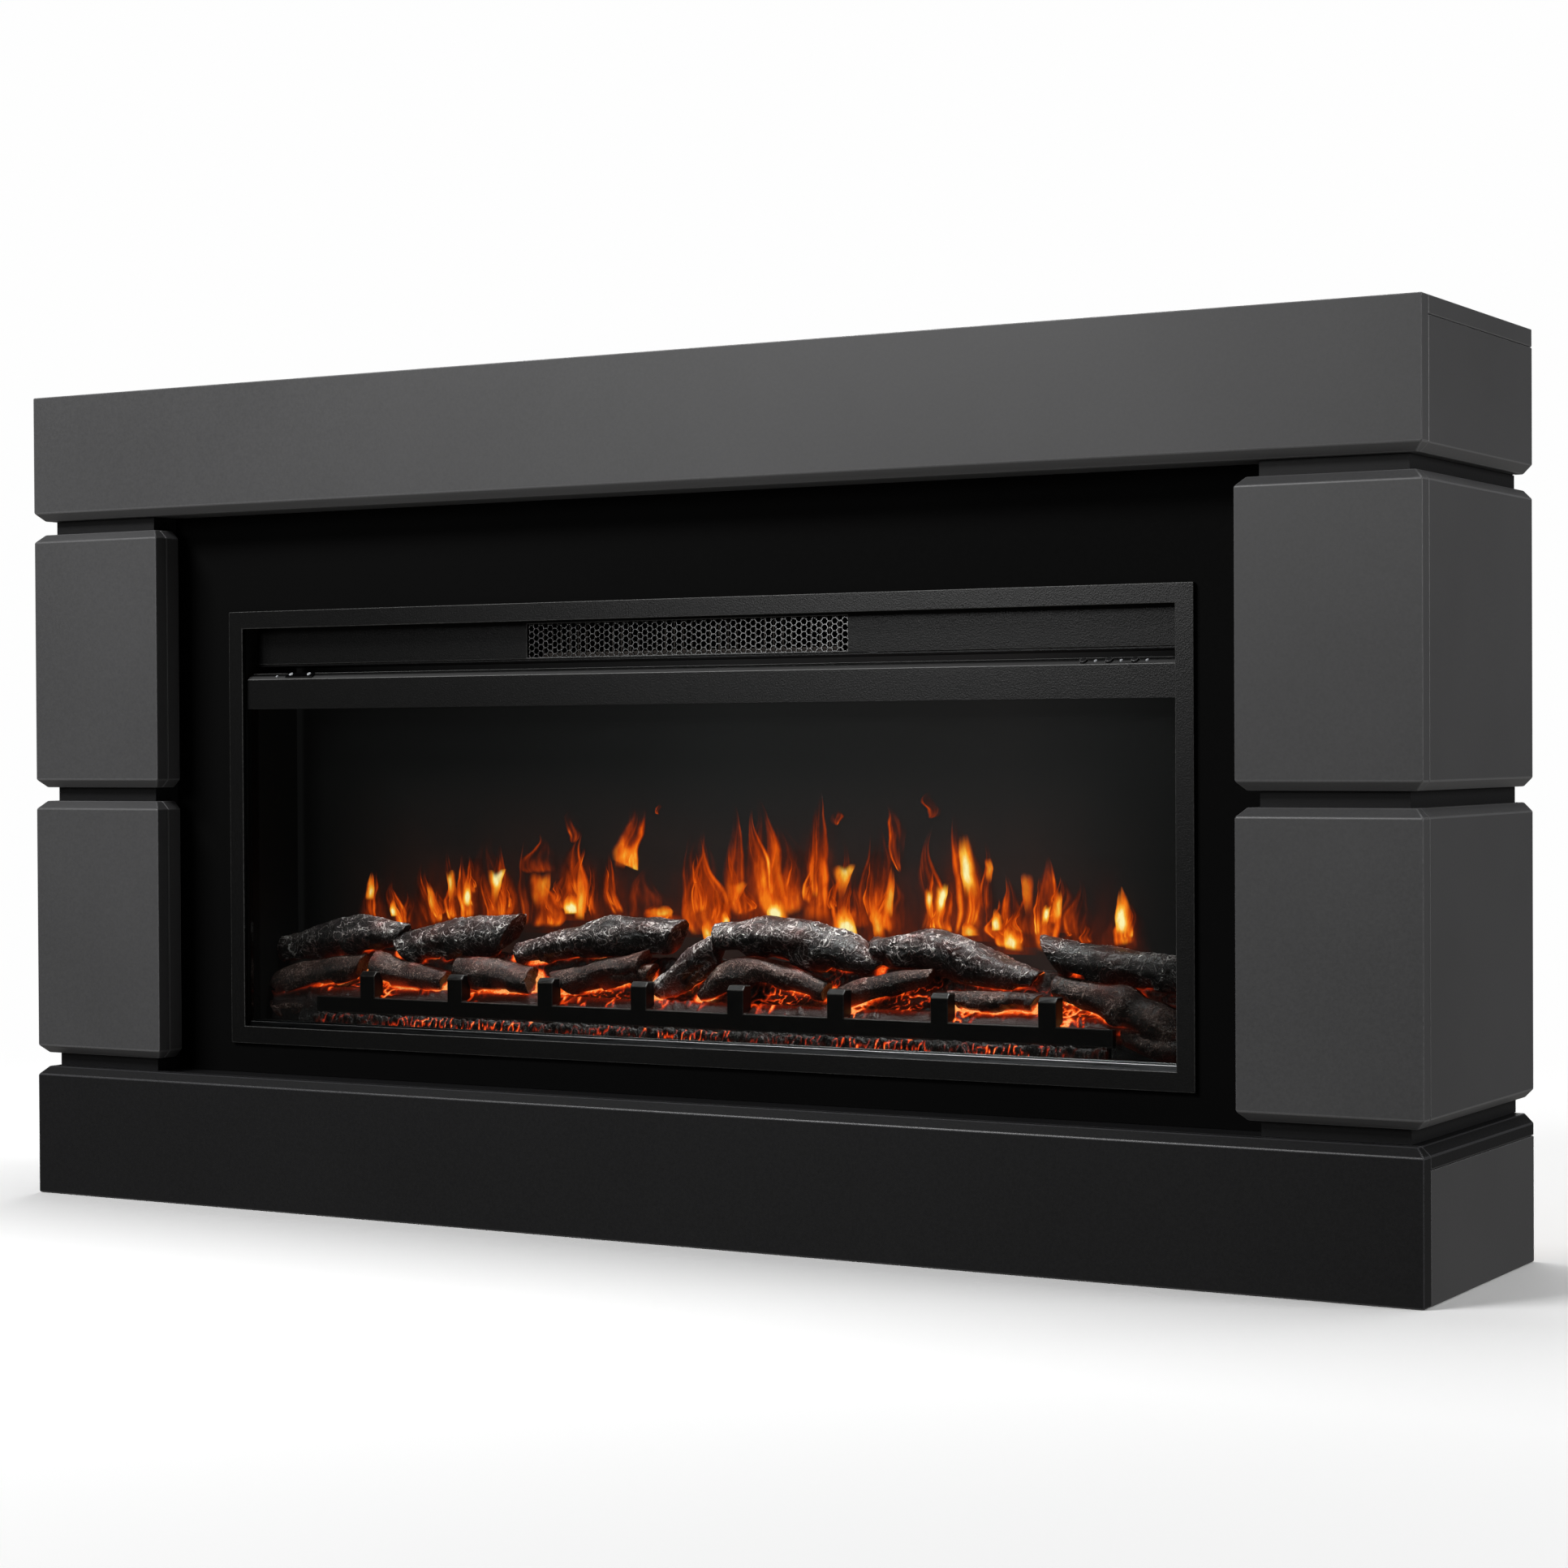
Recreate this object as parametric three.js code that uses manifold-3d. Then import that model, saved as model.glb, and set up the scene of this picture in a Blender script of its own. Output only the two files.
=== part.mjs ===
// Electric fireplace: a panelled surround (plinth, two banded columns, mantel) round a recessed
// firebox with a fan heater above a flame screen, a log set and a grate.
// Millimetres. X runs left to right, the front faces -Y, Z is up, the floor is z = 0.
import * as THREE from "three";
import { mergeVertices } from "three/addons/utils/BufferGeometryUtils.js";
import { ConvexGeometry } from "three/addons/geometries/ConvexGeometry.js";
import Module from "manifold-3d";

const wasm = await Module();
wasm.setup();

// ---------------------------------------------------------------- sizes, surround
const WIDTH = 1500; // overall width
const DEPTH = 288; // overall depth, wall to front
const PLINTH_H = 131; // height of the plinth
const BLOCK_H = 262; // height of each column block
const BAND_GAP = 14; // height of the dark bands between plinth, blocks and mantel
const MANTEL_H = 128; // height of the mantel
const BLOCK_W = 164; // width of a column block
const BOARD = 16; // thickness of the painted boards
const PLINTH_TOP_T = 19; // thickness of the plinth's top board
const BEVEL = 8; // 45 degree bevel along the horizontal edges
const RETURN_D = 35; // depth of a block's inner side, from its front face
const RECESS = 50; // facing panel behind the front plane
const PANEL_T = 10; // thickness of the facing panel
const FIT = 0.4; // gap left between boards that touch

// ---------------------------------------------------------------- sizes, firebox
const FIRE_W = 1060; // trim frame, outer width
const FIRE_H = 438; // trim frame, outer height
const FIRE_Z = 161; // underside of the trim frame above the floor
const FRAME_BAR = 17.5; // face width of the trim frame
const FRAME_T = 3.6; // how far the frame stands off the panel
const SHEET = 1.5; // sheet steel of the casing
const CASE_LAP = 3; // casing walls outside the frame's opening
const CASE_LAP_LOW = 4.5;
const CASE_LAP_TOP = 12.5;
const CASE_D = 186; // casing, front to back
const FASCIA_SET = 20; // heater fascia behind the frame face
const FASCIA_H = 36; // height of the fascia below the frame's top bar
const GRILLE_W = 356; // width of the warm air outlet
const HOOD_H = 30; // flat front of the hood bar
const HOOD_DROP = 81.5; // underside of the hood bar below the top of the frame's opening
const HOOD_SET = 6; // hood face behind the frame face
const LEDGE_RISE = 6; // slanting control ledge on top of the hood
const LEDGE_RUN = 8.5;
const HOOD_TOP_D = 12; // flat top of the hood behind the ledge
const BUTTON_D = 6.6; // push button diameter
const BUTTON_PITCH = 24.5;
const BUTTON_END = 64.5; // middle button from the end of the hood
const BUTTON_OUT = 2; // how far a button stands out of the ledge
const BUTTON_FIT = 0.45; // radial gap round a button
const GLASS_T = 4;
const CHANNEL_H = 6; // visible height of the channel the glass stands in
const SCREEN_T = 3;
const SCREEN_SET = 82; // flame screen behind the hood face
const BAR_END = 72.6; // end of the grate bar from the casing wall
const BAR_H = 16;
const LUGS = 8;
const LUG_END = 64; // outermost lug from the end of the bar
const LUG_W = 18;
const LUG_H = 26;
const LUG_D = 15;
const WHEEL_R = 16; // crossflow blower wheel
const WHEEL_SIDE = 28; // end of the wheel inside the end of the outlet
const ROD_R = 3; // flicker rod
const VANE_R = 14;

// ---------------------------------------------------------------- levels and planes that follow
const HX = WIDTH / 2;
const FRONT = -DEPTH / 2;
const BACK = DEPTH / 2;
const Z_LOW = PLINTH_H + BAND_GAP; // underside of the lower blocks
const Z_MID = Z_LOW + BLOCK_H + BAND_GAP; // underside of the upper blocks
const Z_MANTEL = Z_MID + BLOCK_H + BAND_GAP; // underside of the mantel
const Z_TOP = Z_MANTEL + MANTEL_H;
const INNER_X = HX - BLOCK_W; // inner face of a block
const CORE_OUT = HX - BOARD - FIT; // outer face of a column core
const CORE_IN = INNER_X + BOARD + FIT; // inner face of a column core
const PANEL_Y = FRONT + RECESS; // front face of the facing panel
const FRAME_Y = PANEL_Y - FIT - FRAME_T; // front face of the trim frame
const FRAME_IN_X = FIRE_W / 2 - FRAME_BAR;
const FRAME_TOP_Z = FIRE_Z + FIRE_H - FRAME_BAR; // inner edges of the frame opening
const FRAME_LOW_Z = FIRE_Z + FRAME_BAR;
const CASE_X = FRAME_IN_X + CASE_LAP;
const CASE_Z0 = FRAME_LOW_Z - CASE_LAP_LOW;
const CASE_Z1 = FRAME_TOP_Z + CASE_LAP_TOP;
const CASE_Y0 = FRAME_Y + FRAME_T + 3.5; // front edge of the casing sheets, in the cut-out
const CASE_Y1 = CASE_Y0 + CASE_D;
const WALL_X = CASE_X - SHEET; // inner face of the casing's side walls
const HOOD_Y = FRAME_Y + HOOD_SET;
const HOOD_Z = FRAME_TOP_Z - HOOD_DROP;
const LEDGE_Z = HOOD_Z + HOOD_H;
const FASCIA_Y = FRAME_Y + FASCIA_SET + FRAME_T;
const FASCIA_Z = FRAME_TOP_Z - FASCIA_H;
const SHELF_Z = FASCIA_Z - SHEET - FIT; // underside of the heater shelf
const CHANNEL_Z1 = FRAME_LOW_Z + CHANNEL_H;
const CHANNEL_Y0 = HOOD_Y;
const GLASS_Y = HOOD_Y + 2.5;
const TRAY_Z = CHANNEL_Z1 - 1.5; // top of the tray the fire bed stands on
const TRAY_Y0 = GLASS_Y + GLASS_T + 2.5;
const SCREEN_Y = HOOD_Y + SCREEN_SET;
const BAR_Y = HOOD_Y + 20; // front of the grate bar
const BAR_Z = TRAY_Z + 11;
const spanX = WALL_X - FIT; // half width of what spans the casing
const BAR_X = spanX - BAR_END;
const LUG_PITCH = (2 * (BAR_X - LUG_END)) / (LUGS - 1);
const lugAt = (i) => (i - (LUGS - 1) / 2) * LUG_PITCH;

// ---------------------------------------------------------------- helpers
function toSolid(geometry) {
  const g = geometry.clone();
  g.deleteAttribute("normal");
  g.deleteAttribute("uv");
  const merged = mergeVertices(g, 1e-4);
  return new wasm.Manifold(
    new wasm.Mesh({
      numProp: 3,
      vertProperties: merged.attributes.position.array,
      triVerts: new Uint32Array(merged.index.array),
    }),
  );
}

function toGeometry(solid) {
  const mesh = solid.getMesh();
  const g = new THREE.BufferGeometry();
  g.setAttribute("position", new THREE.BufferAttribute(mesh.vertProperties, 3));
  g.setIndex(new THREE.BufferAttribute(mesh.triVerts, 1));
  g.computeVertexNormals();
  return g;
}

// A box from its two corners.
function box(x0, x1, y0, y1, z0, z1) {
  const g = new THREE.BoxGeometry(x1 - x0, y1 - y0, z1 - z0);
  g.translate((x0 + x1) / 2, (y0 + y1) / 2, (z0 + z1) / 2);
  return toSolid(g);
}

// A round bar along X, Y or Z.
function bar(axis, radius, from, to, a, b, sides = 24) {
  const g = new THREE.CylinderGeometry(radius, radius, to - from, sides);
  const mid = (from + to) / 2;
  if (axis === "x") g.rotateZ(Math.PI / 2).translate(mid, a, b);
  if (axis === "y") g.translate(a, mid, b);
  if (axis === "z") g.rotateX(Math.PI / 2).translate(a, b, mid);
  return toSolid(g);
}

// A profile drawn in (y, z), pushed out along X.
function alongX(points, x0, x1) {
  const shape = new THREE.Shape(points.map(([y, z]) => new THREE.Vector2(y, z)));
  const g = new THREE.ExtrudeGeometry(shape, { depth: x1 - x0, bevelEnabled: false });
  // shape x -> Y, shape y -> Z, depth -> X
  g.applyMatrix4(new THREE.Matrix4().set(0, 0, 1, x0, 1, 0, 0, 0, 0, 1, 0, 0, 0, 0, 0, 1));
  return toSolid(g);
}

// A block whose top and bottom edges are bevelled on the front and on both sides.
function bevelled(x0, x1, z0, z1, low, high) {
  const points = [];
  const ring = (z, b) => {
    for (const x of [x0 + b, x1 - b])
      for (const y of [FRONT + b, BACK]) points.push(new THREE.Vector3(x, y, z));
  };
  ring(z0, low);
  ring(z0 + low, 0);
  ring(z1 - high, 0);
  ring(z1, high);
  return toSolid(new ConvexGeometry(points));
}

const group = new THREE.Group();
const made = {};
const GRAPHITE = { color: 0x4a4a4a, roughness: 0.55, metalness: 0 };
const BLACK_BOARD = { color: 0x0c0c0c, roughness: 0.6, metalness: 0 };
const BLACK_STEEL = { color: 0x1e1f1f, roughness: 0.5, metalness: 0.3 };
const BARE_STEEL = { color: 0x9a9c9d, roughness: 0.35, metalness: 1 };
const RESIN = { color: 0x2b2523, roughness: 0.85, metalness: 0 };
const PLASTIC = { color: 0x151515, roughness: 0.4, metalness: 0 };
const CIRCUIT = { color: 0x1f4a2c, roughness: 0.5, metalness: 0 };
const ALUMINIUM = { color: 0xc4c6c8, roughness: 0.3, metalness: 1 };

function add(name, solid, look) {
  const mesh = new THREE.Mesh(toGeometry(solid), new THREE.MeshStandardMaterial(look));
  mesh.name = name;
  group.add(mesh);
  made[name] = solid;
}

const SIDES = [
  ["left", -1],
  ["right", 1],
];
// A box given for the right-hand side, mirrored for the left.
function sided(s, x0, x1, y0, y1, z0, z1) {
  return s > 0 ? box(x0, x1, y0, y1, z0, z1) : box(-x1, -x0, y0, y1, z0, z1);
}

// ---------------------------------------------------------------- plinth
const BEHIND = FRONT + BOARD + FIT; // boards start here, behind the front boards
const plinth = bevelled(-HX, HX, 0, PLINTH_H, 0, BEVEL);
const underTop = PLINTH_H - PLINTH_TOP_T - FIT;
add("plinth_front_board",
  plinth.intersect(box(-HX, HX, FRONT, FRONT + BOARD, 0, PLINTH_H)), GRAPHITE);
add("plinth_top_board",
  plinth.intersect(box(-HX, HX, BEHIND, BACK, PLINTH_H - PLINTH_TOP_T, PLINTH_H)), GRAPHITE);
for (const [side, s] of SIDES)
  add("plinth_side_" + side, sided(s, HX - BOARD, HX, BEHIND, BACK, 0, underTop), GRAPHITE);
const railX = HX - BOARD - FIT;
add("plinth_bottom_board", box(-railX, railX, BEHIND, BACK, 0, BOARD), BLACK_BOARD);
add("plinth_back_rail",
  box(-railX, railX, BACK - BOARD, BACK, BOARD + FIT, underTop), BLACK_BOARD);

// ---------------------------------------------------------------- mantel
const mantel = bevelled(-HX, HX, Z_MANTEL, Z_TOP, BEVEL, 0);
const underShelf = Z_TOP - BOARD - FIT;
add("mantel_front_board",
  mantel.intersect(box(-HX, HX, FRONT, FRONT + BOARD, Z_MANTEL, Z_TOP)), GRAPHITE);
add("mantel_shelf", box(-HX, HX, BEHIND, BACK, Z_TOP - BOARD, Z_TOP), GRAPHITE);
for (const [side, s] of SIDES)
  add("mantel_side_" + side,
    mantel.intersect(sided(s, HX - BOARD, HX, BEHIND, BACK, Z_MANTEL, underShelf)), GRAPHITE);
add("mantel_soffit", box(-railX, railX, BEHIND, BACK, Z_MANTEL, Z_MANTEL + BOARD), BLACK_BOARD);
add("mantel_back_rail",
  box(-railX, railX, BACK - BOARD, BACK, Z_MANTEL + BOARD + FIT, underShelf), BLACK_BOARD);

// ---------------------------------------------------------------- columns
const COLUMN_Z0 = PLINTH_H + FIT;
const COLUMN_Z1 = Z_MANTEL - FIT;
for (const [side, s] of SIDES) {
  // the core is a three-sided post, open to the wall; it shows only in the bands
  const post = sided(s, CORE_IN, CORE_OUT, BEHIND, BACK, COLUMN_Z0, COLUMN_Z1);
  const hollow = sided(s, CORE_IN + BOARD, CORE_OUT - BOARD, BEHIND + BOARD, BACK + 1,
    COLUMN_Z0 - 1, COLUMN_Z1 + 1);
  add("column_core_" + side, post.subtract(hollow), BLACK_BOARD);
  for (const [level, z] of [["lower", Z_LOW], ["upper", Z_MID]]) {
    const x0 = s > 0 ? INNER_X : -HX;
    const block = bevelled(x0, x0 + BLOCK_W, z, z + BLOCK_H, BEVEL, BEVEL);
    const cut = (a, b, c, d) => block.intersect(sided(s, a, b, c, d, z, z + BLOCK_H));
    const name = side + "_" + level + "_block_";
    add(name + "front", cut(INNER_X, HX, FRONT, FRONT + BOARD), GRAPHITE);
    add(name + "outer", cut(HX - BOARD, HX, BEHIND, BACK), GRAPHITE);
    add(name + "inner", cut(INNER_X, INNER_X + BOARD, BEHIND, FRONT + RETURN_D), GRAPHITE);
  }
}

// ---------------------------------------------------------------- facing panel and trim frame
const panelX = CORE_IN - FIT;
add("facing_panel",
  box(-panelX, panelX, PANEL_Y, PANEL_Y + PANEL_T, COLUMN_Z0, COLUMN_Z1).subtract(
    box(-CASE_X - FIT, CASE_X + FIT, PANEL_Y - 1, PANEL_Y + PANEL_T + 1,
      CASE_Z0 - FIT, CASE_Z1 + FIT)),
  BLACK_BOARD);
add("trim_frame",
  box(-FIRE_W / 2, FIRE_W / 2, FRAME_Y, FRAME_Y + FRAME_T, FIRE_Z, FIRE_Z + FIRE_H).subtract(
    box(-FRAME_IN_X, FRAME_IN_X, FRAME_Y - 1, FRAME_Y + FRAME_T + 1, FRAME_LOW_Z, FRAME_TOP_Z)),
  BLACK_STEEL);

// ---------------------------------------------------------------- casing
const wallZ0 = CASE_Z0 + SHEET + FIT;
const wallZ1 = CASE_Z1 - SHEET - FIT;
add("casing_bottom",
  box(-CASE_X, CASE_X, CASE_Y0, CASE_Y1, CASE_Z0, CASE_Z0 + SHEET), BLACK_STEEL);
add("casing_top", box(-CASE_X, CASE_X, CASE_Y0, CASE_Y1, CASE_Z1 - SHEET, CASE_Z1), BLACK_STEEL);
for (const [side, s] of SIDES)
  add("casing_side_" + side, sided(s, WALL_X, CASE_X, CASE_Y0, CASE_Y1, wallZ0, wallZ1),
    BLACK_STEEL);
const backX = WALL_X - FIT;
const INLET_X = CASE_X - 85; // cord inlet, low on the back
const INLET_Z = CASE_Z0 + 31;
const INLET_R = 9;
let back = box(-backX, backX, CASE_Y1 - SHEET, CASE_Y1, wallZ0, wallZ1);
// air intake slots behind the blower, and the hole for the cord inlet
for (let i = 0; i < 12; i++) {
  const x = -165 + i * 30;
  back = back.subtract(box(x - 11, x + 11, CASE_Y1 - 3, CASE_Y1 + 1, SHELF_Z + 12, SHELF_Z + 18));
  back = back.subtract(box(x - 11, x + 11, CASE_Y1 - 3, CASE_Y1 + 1, SHELF_Z + 26, SHELF_Z + 32));
}
back = back.subtract(bar("y", INLET_R + FIT, CASE_Y1 - 3, CASE_Y1 + 1, INLET_X, INLET_Z));
add("casing_back", back, BLACK_STEEL);
// the inlet: a bushing with a flange outside and a clamp nut inside, bored for the cord
const inlet = bar("y", INLET_R, CASE_Y1 - 9, CASE_Y1 + 9, INLET_X, INLET_Z)
  .add(bar("y", INLET_R + 4, CASE_Y1 + FIT, CASE_Y1 + 5, INLET_X, INLET_Z, 6))
  .add(bar("y", INLET_R + 4, CASE_Y1 - SHEET - FIT - 4, CASE_Y1 - SHEET - FIT, INLET_X, INLET_Z, 6))
  .subtract(bar("y", 4.5, CASE_Y1 - 12, CASE_Y1 + 12, INLET_X, INLET_Z));
add("cord_inlet", inlet, PLASTIC);

// ---------------------------------------------------------------- heater bay
const bayY1 = CASE_Y1 - SHEET - FIT;
const bayZ0 = SHELF_Z + SHEET + FIT;
add("heater_shelf", box(-spanX, spanX, FASCIA_Y, bayY1, SHELF_Z, SHELF_Z + SHEET), BLACK_STEEL);
const GRILLE_Z0 = bayZ0 + 1.5;
const GRILLE_Z1 = FRAME_TOP_Z - 2;
add("heater_fascia",
  box(-spanX, spanX, FASCIA_Y, FASCIA_Y + SHEET, bayZ0, wallZ1).subtract(
    box(-GRILLE_W / 2, GRILLE_W / 2, FASCIA_Y - 1, FASCIA_Y + 3, GRILLE_Z0, GRILLE_Z1)),
  BLACK_STEEL);
// the outlet grille lies behind the fascia; its mesh is drawn as two rows of slots
const grilleY = FASCIA_Y + SHEET + FIT;
let grille = box(-GRILLE_W / 2 - 6, GRILLE_W / 2 + 6, grilleY, grilleY + 1.2,
  bayZ0, GRILLE_Z1 + 4);
const SLOT_PITCH = 14;
const SLOT_ROWS = 2;
const rowH = (GRILLE_Z1 - GRILLE_Z0) / SLOT_ROWS;
for (let row = 0; row < SLOT_ROWS; row++)
  for (let i = 0; i < Math.floor(GRILLE_W / SLOT_PITCH); i++) {
    const x = -GRILLE_W / 2 + SLOT_PITCH * (i + 0.5) + 3;
    const z = GRILLE_Z0 + rowH * (row + 0.5);
    grille = grille.subtract(
      box(x - SLOT_PITCH * 0.38, x + SLOT_PITCH * 0.38, grilleY - 1, grilleY + 3,
        z - rowH * 0.36, z + rowH * 0.36));
  }
add("outlet_grille", grille, BLACK_STEEL);

// heating element: two rails joined by thin fins the air passes between
const elY0 = grilleY + 6;
const elY1 = elY0 + 18;
const elZ0 = bayZ0 + 2;
const elZ1 = wallZ1 - 6;
const EL_X = GRILLE_W / 2 - 13;
let element = box(-EL_X, EL_X, elY0, elY1, elZ0, elZ0 + 4).add(
  box(-EL_X, EL_X, elY0, elY1, elZ1 - 4, elZ1));
const FINS = 34;
for (let i = 0; i < FINS; i++) {
  const x = -EL_X + 1 + (i * (2 * EL_X - 2)) / (FINS - 1);
  element = element.add(box(x - 0.8, x + 0.8, elY0 + 1, elY1 - 1, elZ0 + 2, elZ1 - 2));
}
add("heating_element", element, ALUMINIUM);

// crossflow blower: a squirrel-cage wheel in a scroll, with its motor on the right
const WHEEL_L = GRILLE_W - 2 * WHEEL_SIDE;
const wheelY = elY1 + WHEEL_R + 16;
const wheelZ = (bayZ0 + wallZ1) / 2;
let wheel = bar("x", 2.5, -WHEEL_L / 2 - 8, WHEEL_L / 2 + 12, wheelY, wheelZ, 16);
for (const x of [-WHEEL_L / 2, -1, WHEEL_L / 2 - 2])
  wheel = wheel.add(bar("x", WHEEL_R, x, x + 2, wheelY, wheelZ, 24));
const BLADES = 12;
for (let i = 0; i < BLADES; i++) {
  const blade = new THREE.BoxGeometry(WHEEL_L - 2, 5, 1);
  blade.rotateX(0.9).translate(0, WHEEL_R - 3, 0).rotateX((i * 2 * Math.PI) / BLADES);
  blade.translate(0, wheelY, wheelZ);
  wheel = wheel.add(toSolid(blade));
}
add("blower_wheel", wheel, ALUMINIUM);
// the scroll wraps the wheel from the outlet lip round the back; air enters through the open top
const scroll = [];
const SCROLL_GAP = 2.2;
const scrollAt = (a, extra) => [
  wheelY + Math.cos(a) * (WHEEL_R + SCROLL_GAP + extra),
  wheelZ + Math.sin(a) * (WHEEL_R + SCROLL_GAP + extra),
];
const A0 = -2.4;
const A1 = 0.9;
const STEPS = 14;
for (let i = 0; i <= STEPS; i++) scroll.push(scrollAt(A0 + ((A1 - A0) * i) / STEPS, 0));
for (let i = STEPS; i >= 0; i--) scroll.push(scrollAt(A0 + ((A1 - A0) * i) / STEPS, 1.4));
const housingX = WHEEL_L / 2 + 3;
let housing = alongX(scroll.reverse(), -housingX, housingX);
// end plates carry the wheel's shaft in plain bushes
for (const x of [-housingX, housingX - 1.6]) {
  const plate = box(x, x + 1.6, wheelY - WHEEL_R - 3, wheelY + WHEEL_R + 3.5,
    bayZ0 + FIT, wallZ1 - FIT);
  housing = housing.add(plate.subtract(bar("x", 3.2, x - 1, x + 3, wheelY, wheelZ, 16)));
}
add("blower_housing", housing, BLACK_STEEL);
const motorX = WHEEL_L / 2 + 13;
add("blower_motor",
  bar("x", 15, motorX, motorX + 34, wheelY, wheelZ, 28).add(
    box(motorX + 6, motorX + 24, wheelY - 17, wheelY + 17, bayZ0 + FIT, wheelZ)),
  BARE_STEEL);
// main board on standoffs, right of the motor
const boardX = motorX + 60;
const boardY = elY0;
const part = (x, w, y, d, h) =>
  box(boardX + x, boardX + x + w, boardY + y, boardY + y + d, bayZ0 + 7, bayZ0 + h);
let board = box(boardX, boardX + 140, boardY, boardY + 70, bayZ0 + 6, bayZ0 + 7.6);
for (const x of [8, 132])
  for (const y of [8, 62])
    board = board.add(bar("z", 3, bayZ0 + FIT, bayZ0 + 7, boardX + x, boardY + y, 8));
board = board.add(part(16, 28, 20, 24, 24)).add(part(56, 16, 16, 16, 20))
  .add(part(82, 36, 38, 18, 17));
add("control_board", board, CIRCUIT);

// ---------------------------------------------------------------- hood bar with its controls
const hoodX = FRAME_IN_X - 1.5;
const HOOD_T = 1.8;
const ledgeY1 = HOOD_Y + LEDGE_RUN;
const ledgeZ1 = LEDGE_Z + LEDGE_RISE;
const ledgeLength = Math.hypot(LEDGE_RUN, LEDGE_RISE);
// outward normal of the ledge and its middle
const ledgeN = [-LEDGE_RISE / ledgeLength, LEDGE_RUN / ledgeLength];
const ledgeMid = [HOOD_Y + LEDGE_RUN / 2, LEDGE_Z + LEDGE_RISE / 2];
let hood = alongX(
  [
    [HOOD_Y, HOOD_Z],
    [HOOD_Y + HOOD_T, HOOD_Z],
    [HOOD_Y + HOOD_T, LEDGE_Z - 0.9],
    [ledgeY1 + 0.6, ledgeZ1 - HOOD_T],
    [ledgeY1 + HOOD_TOP_D, ledgeZ1 - HOOD_T],
    [ledgeY1 + HOOD_TOP_D, ledgeZ1],
    [ledgeY1, ledgeZ1],
    [HOOD_Y, LEDGE_Z],
  ],
  -hoodX, hoodX);
// A round plug square to the ledge, from one depth to another along its outward normal.
function onLedge(x, radius, from, to, sides = 20) {
  const g = new THREE.CylinderGeometry(radius, radius, to - from, sides);
  g.translate(0, (from + to) / 2, 0);
  g.rotateX(Math.atan2(ledgeN[1], ledgeN[0]));
  g.translate(x, ledgeMid[0], ledgeMid[1]);
  return toSolid(g);
}
const BUTTON_X = hoodX - BUTTON_END;
const BUTTONS = [-1, 0, 1].map((i) => BUTTON_X + i * BUTTON_PITCH);
for (const x of BUTTONS) hood = hood.subtract(onLedge(x, BUTTON_D / 2 + BUTTON_FIT, -6, 6));
// window for the remote control's receiver, left on the ledge
const EYE_X = 65 - hoodX;
const EYE_L = 34;
const eyeAt = (w, from, to, h) => {
  const g = new THREE.BoxGeometry(w, to - from, h);
  g.translate(0, (from + to) / 2, 0);
  g.rotateX(Math.atan2(ledgeN[1], ledgeN[0]));
  g.translate(EYE_X, ledgeMid[0], ledgeMid[1]);
  return toSolid(g);
};
hood = hood.subtract(eyeAt(EYE_L - 2 + 2 * FIT, -6, 3, 5.2 + 2 * FIT));
add("hood_bar", hood, BLACK_STEEL);
add("receiver_window", eyeAt(EYE_L - 2, -2.4, 1, 5.2).add(eyeAt(EYE_L, FIT, 1.6, 7)), PLASTIC);
BUTTONS.forEach((x, i) =>
  add("button_" + (i + 1), onLedge(x, BUTTON_D / 2, -2.8, BUTTON_OUT), PLASTIC));
// small board under the ledge with one switch body below each button
const switchAt = (x, from, to, w, h) => {
  const g = new THREE.BoxGeometry(w, to - from, h);
  g.translate(0, (from + to) / 2, 0);
  g.rotateX(Math.atan2(ledgeN[1], ledgeN[0]));
  g.translate(x, ledgeMid[0], ledgeMid[1]);
  return toSolid(g);
};
let switches = switchAt(BUTTON_X, -8.6, -7.2, BUTTON_PITCH * 2 + 22, 6.4);
for (const x of BUTTONS) switches = switches.add(switchAt(x, -7.5, -5.2, 5, 5));
add("button_board", switches, CIRCUIT);

// ---------------------------------------------------------------- glass, screen, tray
const glassX = FRAME_IN_X - 1.5;
add("glass_channel",
  alongX(
    [
      [CHANNEL_Y0, CASE_Z0 + SHEET + FIT],
      [GLASS_Y + GLASS_T + 2, CASE_Z0 + SHEET + FIT],
      [GLASS_Y + GLASS_T + 2, CHANNEL_Z1],
      [GLASS_Y + GLASS_T + 0.7, CHANNEL_Z1],
      [GLASS_Y + GLASS_T + 0.7, FRAME_LOW_Z + 1],
      [GLASS_Y - 0.7, FRAME_LOW_Z + 1],
      [GLASS_Y - 0.7, CHANNEL_Z1 - 1],
      [CHANNEL_Y0, CHANNEL_Z1 - 1],
    ],
    -glassX, glassX),
  BARE_STEEL);
add("front_glass",
  box(-glassX, glassX, GLASS_Y, GLASS_Y + GLASS_T, FRAME_LOW_Z + 1 + FIT, HOOD_Z + 14),
  { color: 0x101214, roughness: 0.05, metalness: 0 });
const trayY1 = bayY1;
add("bed_tray",
  alongX(
    [
      [TRAY_Y0, wallZ0],
      [TRAY_Y0 + SHEET, wallZ0],
      [TRAY_Y0 + SHEET, TRAY_Z - SHEET],
      [trayY1 - SHEET, TRAY_Z - SHEET],
      [trayY1 - SHEET, wallZ0],
      [trayY1, wallZ0],
      [trayY1, TRAY_Z],
      [TRAY_Y0, TRAY_Z],
    ],
    -spanX, spanX),
  BLACK_STEEL);
add("flame_screen",
  box(-spanX, spanX, SCREEN_Y, SCREEN_Y + SCREEN_T, TRAY_Z + FIT, SHELF_Z - FIT),
  { color: 0x0d0d0e, roughness: 0.15, metalness: 0 });

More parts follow.
